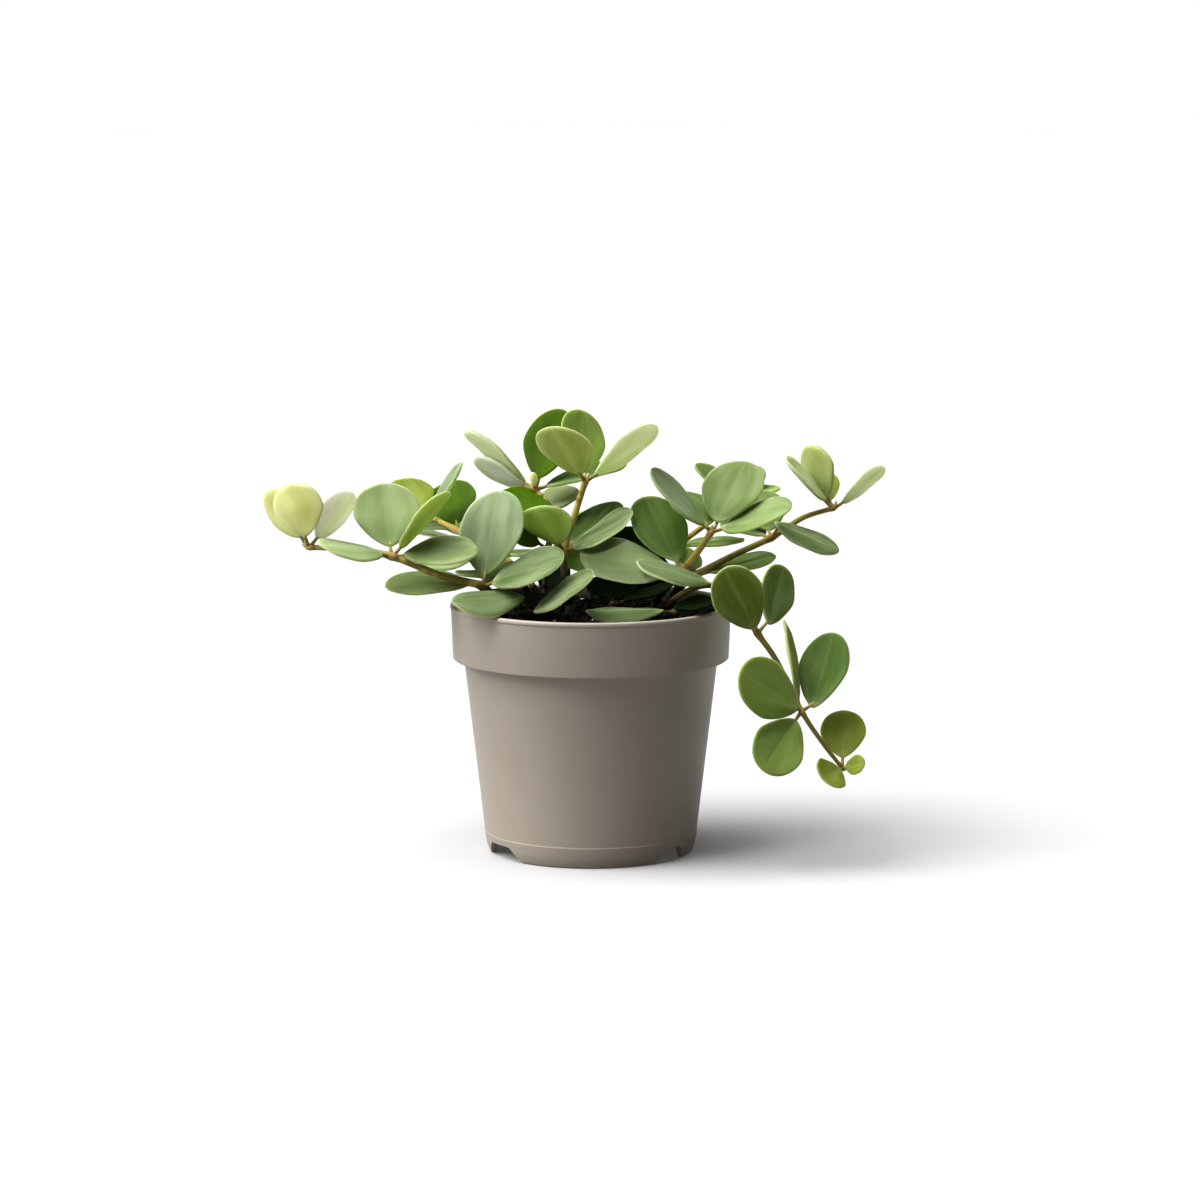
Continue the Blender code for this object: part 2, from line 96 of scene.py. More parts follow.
def new_material(name, **sockets):
    """A material with a Principled shader; sockets are its plain values."""
    made = bpy.data.materials.new(name)
    made.use_nodes = True
    shader = made.node_tree.nodes["Principled BSDF"]
    for socket, value in sockets.items():
        shader.inputs[socket.replace("_", " ")].default_value = value
    return made, made.node_tree, shader


def finish_piece(name, bm, material, slot, *stands_for):
    """Turn a bmesh in millimetres into a smooth piece in metres that rides on the model."""
    bmesh.ops.scale(bm, vec=(MM, MM, MM), verts=bm.verts)
    mesh = bpy.data.meshes.new(name)
    bm.to_mesh(mesh)
    bm.free()
    mesh.shade_smooth()
    mesh.materials.append(material)
    made = bpy.data.objects.new(name, mesh)
    bpy.context.scene.collection.objects.link(made)
    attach(made, "root")
    if stands_for:
        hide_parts(*stands_for)
    print(name, len(mesh.polygons), "faces")
    return made


# %% [markdown]
# ## Camera
# The picture is taken from a little above the rim, with a long lens, so the pot's rim is a thin
# ellipse. The camera is placed by the pot's known size: 105 mm across the rim.

# %% Camera
LENS_MM = 126.27
LOOK_DOWN = 8.30
lens_eye = bpy.data.cameras.new("camera")
lens_eye.lens = LENS_MM
lens_eye.sensor_width = 36.0
camera = bpy.data.objects.new("camera", lens_eye)
camera.location = (0.0034, -1.55, 0.32)
camera.rotation_euler = (math.radians(90.0 - LOOK_DOWN), 0.0, 0.0)
bpy.context.scene.collection.objects.link(camera)
bpy.context.scene.camera = camera
print("camera at", tuple(camera.location))

# %% [markdown]
# ## Light
# Three broad lamps stand for a photographer's panels: a soft box at the upper left, a low one at the
# left that shades the pot from light to dark, and one overhead. Each is a sun lamp with a wide angle,
# so its light falls evenly on the whole floor, which stays white up to the horizon. A small mirror
# throws a spot of light on the middle leaves, and isn't seen in reflections.

# %% Lamps
# name, strength, apparent width in degrees, way the light goes
LAMPS = (
    ("soft box", 4.7, 56.0, (0.571, 0.137, -0.809)),
    ("low side panel", 1.35, 50.0, (0.91, 0.22, -0.36)),
    ("overhead panel", 3.2, 60.0, (0.18, -0.05, -1.0)),
)


def hang(name, lamp, place, way):
    """Put a lamp in the scene so that its light goes a given way."""
    hung = bpy.data.objects.new(name, lamp)
    hung.location = place
    hung.rotation_mode = "QUATERNION"
    hung.rotation_quaternion = Vector(way).to_track_quat("-Z", "Y")
    bpy.context.scene.collection.objects.link(hung)
    return hung


for name, strength, width, way in LAMPS:
    lamp = bpy.data.lights.new(name, "SUN")
    lamp.energy = strength
    lamp.angle = math.radians(width)
    hang(name, lamp, (0.0, 0.0, 1.0), way)

MIRROR_PLACE = Vector((-0.05, -0.90, 0.34))
MIRROR_AIM = Vector((0.016, 0.004, 0.110))
MIRROR_WATTS = 30.0
MIRROR_SPREAD = 3.2
mirror = bpy.data.lights.new("small mirror", "SPOT")
mirror.energy = MIRROR_WATTS
mirror.spot_size = math.radians(MIRROR_SPREAD)
mirror.spot_blend = 0.7
mirror.shadow_soft_size = 0.01
hang("small mirror", mirror, MIRROR_PLACE, MIRROR_AIM - MIRROR_PLACE).visible_glossy = False
print("lamps:", len(LAMPS) + 1)

# %% [markdown]
# ## Surround and floor
# The surround is faint, and only the camera sees it as white paper. The floor is a wide white card,
# darker for the light that it throws back, or the undersides would come out too bright.

# %% Surround and floor
WHITE = linear("#FFFFFF")
SURROUND = 0.06             # strength of the surround's own light
FLOOR_RADIUS = 8.0
FLOOR_DROP = 0.0002         # keeps the floor clear of the pot's foot
FLOOR_GLOW = 0.05
FLOOR_SEEN = linear("#B2B2B2")
FLOOR_BOUNCED = linear("#585858")
surround = bpy.data.worlds.new("white surround")
surround.use_nodes = True
sky = surround.node_tree
sky.nodes.clear()
seen = add_node(sky, "ShaderNodeLightPath")
glow = add_node(sky, "ShaderNodeBackground", {"Color": WHITE, "Strength": SURROUND})
paper = add_node(sky, "ShaderNodeBackground", {"Color": WHITE, "Strength": 1.0})
either = add_node(sky, "ShaderNodeMixShader", links={0: seen.outputs["Is Camera Ray"],
                                                    1: glow.outputs[0], 2: paper.outputs[0]})
add_node(sky, "ShaderNodeOutputWorld", links={"Surface": either.outputs[0]})
bpy.context.scene.world = surround
bpy.context.scene.view_settings.view_transform = "Standard"

bm = bmesh.new()
bmesh.ops.create_circle(bm, cap_ends=True, radius=FLOOR_RADIUS, segments=96)
floor_mesh = bpy.data.meshes.new("studio_floor")
bm.to_mesh(floor_mesh)
bm.free()
floor = bpy.data.objects.new("studio_floor", floor_mesh)
floor.location.z = -FLOOR_DROP
bpy.context.scene.collection.objects.link(floor)
card, card_tree, card_shader = new_material(
    "matte white card", Roughness=0.9, Emission_Color=WHITE, Emission_Strength=FLOOR_GLOW)
seen = add_node(card_tree, "ShaderNodeLightPath")
shade = add_node(card_tree, "ShaderNodeMix", {6: FLOOR_SEEN, 7: FLOOR_BOUNCED},
                 {0: seen.outputs["Is Diffuse Ray"]}, data_type="RGBA")
card_tree.links.new(shade.outputs[2], card_shader.inputs["Base Color"])
floor_mesh.materials.append(card)
print("floor radius", FLOOR_RADIUS, "m")

# %% [markdown]
# ## Pot: the section
# A nursery pot is injection moulded: one thin wall with a rolled lip, a wide collar to grip, a
# tapered body and a foot with three notches for drainage. A turned shape is one section line spun
# round the axis, so the section comes first. Moulded corners are never sharp: each corner of the line
# has its own rounding.

# %% Pot section
WALL = 1.3
LIP_TOP = 93.0
LIP_RADIUS = 52.5
COLLAR_FOOT = 72.4
BODY_RADIUS = 47.1
FOOT_RADIUS = 38.9
PLATE_BELOW = 6.9
PLATE_ABOVE = 8.3

# radius, height, rounding of the corner
POT_SECTION = (
    (0.0, PLATE_ABOVE, 0.0),
    (36.2, PLATE_ABOVE, 2.0),
    (37.5, 11.3, 1.0),
    (BODY_RADIUS - WALL, 73.0, 0.6),
    (49.9, 73.7, 0.6),
    (50.2, LIP_TOP - 1.0, 0.3),
    (50.7, LIP_TOP, 0.4),
    (LIP_RADIUS - 0.1, LIP_TOP, 0.7),
    (LIP_RADIUS, 91.6, 0.3),
    (52.1, 91.2, 0.2),
    (51.4, COLLAR_FOOT, 0.7),
    (BODY_RADIUS + 0.2, COLLAR_FOOT - 0.1, 0.3),
    (39.72, 7.9, 0.15),
    (39.90, 7.5, 0.15),
    (FOOT_RADIUS + 0.2, 3.0, 0.9),
    (FOOT_RADIUS - 0.9, 0.0, 0.5),
    (36.4, 0.0, 0.3),
    (36.8, PLATE_BELOW, 0.6),
    (15.5, PLATE_BELOW, 0.6),
    (14.0, 0.0, 0.4),
    (0.0, 0.0, 0.0),
)

bm = bmesh.new()
corners = [bm.verts.new((radius, 0.0, height)) for radius, height, _ in POT_SECTION]
for start, end in zip(corners, corners[1:]):
    bm.edges.new((start, end))
for (radius, height, rounding), corner in zip(POT_SECTION, corners):
    if rounding:
        bmesh.ops.bevel(bm, geom=[corner], offset=rounding, offset_type="OFFSET", segments=4,
                        profile=0.5, affect="VERTICES", material=-1)
print("pot section:", len(bm.verts), "points")

# %% [markdown]
# ## Pot: spin, notches and drain holes
# The section is spun a full turn. The foot's notches and the drain holes are cut with Booleans, as a
# maker would leave cores in the mould. A notch's cutter is a short block with rounded upper edges, and
# a hole's cutter a short cylinder.

# %% Pot body
POT_STEPS = 144
NOTCHES = ((-149.3, 13.0, 23.0), (-39.8, 9.8, 15.6), (85.0, 11.0, 18.0))    # bearing, roof, foot
NOTCH_HEIGHT = 5.2
NOTCH_DEPTH = 12.0
NOTCH_ROUNDING = 1.4
DRAINS = 6
DRAIN_RADIUS = 3.5
DRAIN_CIRCLE = 26.0

bmesh.ops.spin(bm, geom=bm.verts[:] + bm.edges[:], cent=(0, 0, 0), axis=(0, 0, 1), angle=math.tau,
               steps=POT_STEPS, use_merge=True)
bmesh.ops.remove_doubles(bm, verts=bm.verts, dist=0.001)
bmesh.ops.recalc_face_normals(bm, faces=bm.faces)

cutters = bpy.data.collections.new("pot_cutters")
bpy.context.scene.collection.children.link(cutters)


def add_cutter(shape, place):
    """Put one cutting shape where it belongs."""
    bmesh.ops.transform(shape, matrix=place, verts=shape.verts)
    bmesh.ops.scale(shape, vec=(MM, MM, MM), verts=shape.verts)
    mesh = bpy.data.meshes.new("cutter")
    shape.to_mesh(mesh)
    shape.free()
    cutters.objects.link(bpy.data.objects.new("cutter", mesh))


for bearing, roof_width, foot_width in NOTCHES:
    block = bmesh.new()
    bmesh.ops.create_cube(block, size=1.0)
    bmesh.ops.scale(block, vec=(NOTCH_DEPTH, roof_width, 2.0 * NOTCH_HEIGHT), verts=block.verts)
    flare = 2.0 * foot_width / roof_width - 1.0
    bmesh.ops.scale(block, vec=(1.0, flare, 1.0), verts=[v for v in block.verts if v.co.z < 0.0])
    roof = [e for e in block.edges
            if abs(e.verts[0].co.x - e.verts[1].co.x) > 1.0 and e.verts[0].co.z > 0.0]
    bmesh.ops.bevel(block, geom=roof, offset=NOTCH_ROUNDING, segments=6, profile=0.5,
                    affect="EDGES", material=-1)
    add_cutter(block, Matrix.Rotation(math.radians(bearing), 4, "Z")
               @ Matrix.Translation((FOOT_RADIUS, 0, 0)))
for number in range(DRAINS):
    plug = bmesh.new()
    bmesh.ops.create_cone(plug, cap_ends=True, segments=32, radius1=DRAIN_RADIUS, radius2=DRAIN_RADIUS,
                          depth=10.0)
    add_cutter(plug, Matrix.Rotation(math.tau * (number + 0.5) / DRAINS, 4, "Z")
               @ Matrix.Translation((DRAIN_CIRCLE, 0.0, PLATE_ABOVE)))

# %% [markdown]
# ## Pot: the plastic
# Polypropylene, injection moulded in a spark-eroded mould: a warm taupe with a low, broad shine and a
# faint mottle where the pigment isn't even. The mould's grain is about 0.1 mm, too fine for the
# picture, so it is drawn at 0.7 mm and very shallow. Above the soil the inside of the wall is painted
# dark: painted shade in the pot's hollow.

# %% Taupe plastic
plastic, tree, shader = new_material("moulded taupe polypropylene", Roughness=0.5, IOR=1.49)
spot = add_node(tree, "ShaderNodeTexCoord")
MOTTLE_MM = 16.0
GRAIN_MM = 0.7
INNER_SHADE_RADII = (50.5, 50.1)      # plain outside the first, painted shade inside the second
INNER_SHADE_HEIGHTS = (74.0, 75.0)    # plain below the first, painted shade above the second
mottle = add_node(tree, "ShaderNodeTexNoise",
                  {"Scale": 1000.0 / MOTTLE_MM, "Detail": 4.0, "Roughness": 0.6},
                  {"Vector": spot.outputs["Object"]})
pigment = add_node(tree, "ShaderNodeMix", {6: linear("#958A7B"), 7: linear("#A1968A")},
                   {0: mottle.outputs["Fac"]}, data_type="RGBA")
level = add_node(tree, "ShaderNodeVectorMath", {1: (1.0, 1.0, 0.0)}, {0: spot.outputs["Object"]},
                 operation="MULTIPLY")
out = add_node(tree, "ShaderNodeVectorMath", links={0: level.outputs[0]}, operation="LENGTH")
inside = add_node(tree, "ShaderNodeMapRange",
                  {"From Min": INNER_SHADE_RADII[0] * MM, "From Max": INNER_SHADE_RADII[1] * MM},
                  {"Value": out.outputs["Value"]})
height = add_node(tree, "ShaderNodeSeparateXYZ", links={"Vector": spot.outputs["Object"]})
above = add_node(tree, "ShaderNodeMapRange",
                 {"From Min": INNER_SHADE_HEIGHTS[0] * MM, "From Max": INNER_SHADE_HEIGHTS[1] * MM},
                 {"Value": height.outputs["Z"]})
inner_shade_share = add_node(tree, "ShaderNodeMath", links={0: inside.outputs[0], 1: above.outputs[0]},
                       operation="MULTIPLY")
# painted shade: the inside of the wall above the soil is made dark brown
inner_shaded = add_node(tree, "ShaderNodeMix", {7: linear("#1F1A15")},
                   {0: inner_shade_share.outputs[0], 6: pigment.outputs[2]}, data_type="RGBA")
tree.links.new(inner_shaded.outputs[2], shader.inputs["Base Color"])
dull = add_node(tree, "ShaderNodeMapRange", {"To Min": 0.44, "To Max": 0.58},
                {"Value": mottle.outputs["Fac"]})
tree.links.new(dull.outputs[0], shader.inputs["Roughness"])
grain = add_node(tree, "ShaderNodeTexNoise", {"Scale": 1000.0 / GRAIN_MM, "Detail": 2.0},
                 {"Vector": spot.outputs["Object"]})
relief = add_node(tree, "ShaderNodeBump", {"Strength": 0.12, "Distance": 0.1 * MM},
                  {"Height": grain.outputs["Fac"]})
tree.links.new(relief.outputs[0], shader.inputs["Normal"])

# %% [markdown]
# ## Pot: cut and finish
# The cutters take the notches and the holes out of the spun body, and are then removed. Corners
# sharper than 40 degrees stay crisp, and the rest is shaded smooth.

# %% Finish the pot
CRISP_ANGLE = 40.0
pot = finish_piece("pot_shell", bm, plastic, "pot_plastic", "pot")
cut = pot.modifiers.new("cut", "BOOLEAN")
cut.operation = "DIFFERENCE"
cut.operand_type = "COLLECTION"
cut.collection = cutters
cut.solver = "EXACT"
bpy.context.view_layer.update()
cut_mesh = bpy.data.meshes.new_from_object(pot.evaluated_get(bpy.context.evaluated_depsgraph_get()))
pot.modifiers.clear()
pot.data = cut_mesh
pot.data.materials.clear()
pot.data.materials.append(plastic)
for cutter in list(cutters.objects):
    bpy.data.objects.remove(cutter, do_unlink=True)
bpy.data.collections.remove(cutters)
pot.data.shade_smooth()
pot.data.set_sharp_from_angle(angle=math.radians(CRISP_ANGLE))
print("pot:", len(pot.data.polygons), "faces")

# %% [markdown]
# ## Soil bed
# Peat compost settles into a slightly domed, uneven bed a few millimetres under the rim. A grid
# squeezed into a disc gives an even net of faces all over, and noise moves its points up and down.

# %% Soil bed
SOIL_TOP = 88.0
SOIL_DOME = 1.6
SOIL_ROUGH = 0.7
SOIL_RADIUS = 49.6
SOIL_NET = 76
LUMP_HEIGHT = 0.8
EDGE_WIDTH = 3.0            # the bed slopes down along the wall
EDGE_DROP = 1.2
BED_BOTTOM = 76.0


def soil_height(x, y):
    """Height of the soil's uneven top."""
    out = math.hypot(x, y) / LIP_RADIUS
    rough = math.sin(0.31 * x + 1.0) * math.cos(0.27 * y) + 0.6 * math.sin(0.53 * y - 0.41 * x)
    return SOIL_TOP + SOIL_DOME * (0.6 - out * out) + SOIL_ROUGH * rough * 0.6


def disc(a, b):
    """A point of the square from -1 to 1, moved into the unit disc."""
    return a * math.sqrt(1.0 - 0.5 * b * b), b * math.sqrt(1.0 - 0.5 * a * a)


bm = bmesh.new()
bmesh.ops.create_grid(bm, x_segments=SOIL_NET, y_segments=SOIL_NET, size=1.0)
for v in bm.verts:
    x, y = (SOIL_RADIUS * share for share in disc(v.co.x, v.co.y))
    wide = noise.noise(Vector((0.45 * x, 0.45 * y, 0.0)))
    fine = noise.noise(Vector((1.1 * x, 1.1 * y, 5.0)))
    edge = min(1.0, (SOIL_RADIUS - math.hypot(x, y)) / EDGE_WIDTH)
    v.co = (x, y, soil_height(x, y) + LUMP_HEIGHT * (wide + 0.6 * fine) - EDGE_DROP * (1.0 - edge))
rim = [e for e in bm.edges if e.is_boundary]
wall = bmesh.ops.extrude_edge_only(bm, edges=rim)
low = [g for g in wall["geom"] if isinstance(g, bmesh.types.BMVert)]
for v in low:
    v.co.z = BED_BOTTOM
bmesh.ops.contextual_create(bm, geom=[e for e in bm.edges if e.is_boundary])
bmesh.ops.recalc_face_normals(bm, faces=bm.faces)
print("soil net:", len(bm.faces), "faces")

# %% [markdown]
# ## Peat
# Damp peat is dark, with brown clods and lighter dry crumbs; here its browns are made nearly black,
# partly painted shade of the leaves over the soil. Two noises, at the size of clods (6 mm) and of crumbs
# (1.6 mm), mix three browns, and it has hardly any shine.

# %% Peat
CLOD_MM = 6.0
CRUMB_MM = 1.6
peat, tree, shader = new_material("damp peat compost", Roughness=0.92, Specular_IOR_Level=0.1)
spot = add_node(tree, "ShaderNodeTexCoord")
clods = add_node(tree, "ShaderNodeTexNoise",
                 {"Scale": 1000.0 / CLOD_MM, "Detail": 6.0, "Roughness": 0.7},
                 {"Vector": spot.outputs["Object"]})
specks = add_node(tree, "ShaderNodeTexNoise", {"Scale": 1000.0 / CRUMB_MM, "Detail": 3.0},
                  {"Vector": spot.outputs["Object"]})
# the peat's own browns, darkened nearly to black as painted shade
browns = add_node(tree, "ShaderNodeMix", {6: linear("#050403"), 7: linear("#0F0B08")},
                  {0: clods.outputs["Fac"]}, data_type="RGBA")
light_bits = add_node(tree, "ShaderNodeMapRange", {"From Min": 0.62, "From Max": 0.74, "To Max": 0.6},
                      {"Value": specks.outputs["Fac"]})
crumbs_on = add_node(tree, "ShaderNodeMix", {7: linear("#1E1711")},
                     {0: light_bits.outputs[0], 6: browns.outputs[2]}, data_type="RGBA")
tree.links.new(crumbs_on.outputs[2], shader.inputs["Base Color"])
relief = add_node(tree, "ShaderNodeBump", {"Strength": 0.7, "Distance": 0.5 * MM},
                  {"Height": specks.outputs["Fac"]})
tree.links.new(relief.outputs[0], shader.inputs["Normal"])
finish_piece("soil_bed", bm, peat, "peat", "soil")

# %% [markdown]
# ## Crumbs, fibres and perlite
# Loose crumbs break the soil's smooth net, bark fibres lie across it, and a few white grains of
# perlite show between the stems. Each is a small ball of few faces, squashed and turned at random
# from a fixed seed. Its dents come from noise_vector, which isn't seeded here and starts elsewhere in
# each run, so the bits' forms differ by under a millimetre from run to run.

# %% Loose bits on the soil
chance = random.Random(11)
BITS_REACH = 47.5
PORE_MM = 0.8
SEEN_GRAINS = ((-15.4, -46.3, 0.75), (-17.9, -45.0, 0.55))    # x, y, radius of the two at the rim


def scatter(bm, count, smallest, largest, faces_step, squash):
    """Drop squashed little balls on the soil."""
    for _ in range(count):
        way, out = chance.uniform(0.0, math.tau), BITS_REACH * math.sqrt(chance.random())
        x, y = out * math.cos(way), out * math.sin(way)
        size = chance.uniform(smallest, largest)
        lie = Matrix.Translation((x, y, soil_height(x, y) + 0.35 * size)) @ Matrix.Rotation(
            chance.uniform(0.0, math.tau), 4, Vector((chance.random(), chance.random(), 1.0)))
        shape = Matrix.Diagonal(
            (size, size * chance.uniform(*squash), size * chance.uniform(0.5, 0.8), 1.0))
        made = bmesh.ops.create_icosphere(bm, subdivisions=faces_step, radius=1.0, matrix=lie @ shape)
        for v in made["verts"]:
            v.co += 0.22 * size * noise.noise_vector(v.co * 0.9)


bm = bmesh.new()
scatter(bm, count=620, smallest=0.5, largest=1.5, faces_step=1, squash=(0.6, 1.0))
scatter(bm, count=90, smallest=1.4, largest=2.4, faces_step=1, squash=(0.25, 0.45))
finish_piece("soil_crumbs", bm, peat, "peat")

perlite, tree, shader = new_material("expanded perlite", Roughness=0.85)
spot = add_node(tree, "ShaderNodeTexCoord")
pores = add_node(tree, "ShaderNodeTexVoronoi", {"Scale": 1000.0 / PORE_MM},
                 {"Vector": spot.outputs["Object"]})
whites = add_node(tree, "ShaderNodeMix", {6: linear("#CFC8BC"), 7: linear("#F3F0EA")},
                  {0: pores.outputs["Distance"]}, data_type="RGBA")
tree.links.new(whites.outputs[2], shader.inputs["Base Color"])
bm = bmesh.new()
scatter(bm, count=5, smallest=0.5, largest=0.9, faces_step=2, squash=(0.7, 1.0))
for x, y, size in SEEN_GRAINS:
    bmesh.ops.create_icosphere(bm, subdivisions=2, radius=size,
                               matrix=Matrix.Translation((x, y, soil_height(x, y) + 0.6)))
finish_piece("perlite_grains", bm, perlite, "peat")

# %% [markdown]
# ## Leaf finishes
# The leaves of one plant aren't one green. Old leaves are grey-green with a pale bloom, and the tips
# are young and yellow-green. Part of the palette is painted light: the shade finish is painted shade,
# near black for the low leaves in the middle of the plant; the darker finishes partly paint the shade on
# leaves that get little light; and the palest undersides partly paint the glow of leaves that stand
# against the light.
# Each finish has a colour for the upper face and one for the paler underside.

# %% Leaf finishes
# upper face, underside, share of bloom
FINISHES = {
    "silver": ("#7C8A69", "#A3B78E", 1.0),
    "sage": ("#56643F", "#D2DDB8", 0.8),
    "dew": ("#8D9D6C", "#E4EACB", 0.8),
    "mist": ("#B0BD88", "#CFD8BE", 0.6),
    "moss": ("#5A6E36", "#92A25C", 0.6),
    "fern": ("#72873D", "#9DB66E", 0.4),
    "dark": ("#486027", "#627E44", 0.3),
    "lime": ("#3A5600", "#87A12C", 0.0),
    "apple": ("#6C7D4A", "#A4AE6D", 0.6),
    "spring": ("#778430", "#E6E79A", 0.3),
    "cream": ("#C9CF94", "#F8FFE0", 0.2),
    # painted shade: near black for the low leaves in the middle of the plant
    "shade": ("#030D00", "#030E00", 0.0),
}
print("leaf finishes:", ", ".join(FINISHES))

# %% [markdown]
# ## The shoots
# Every shoot is a stem through a few points, with leaves in whorls at its joints. A leaf is a bearing,
# a slope and a turn about its midrib, its length and width, how far its sides cup and its tip curls,
# and its finish. Where the stalk isn't in line with the blade, its own way is given last.

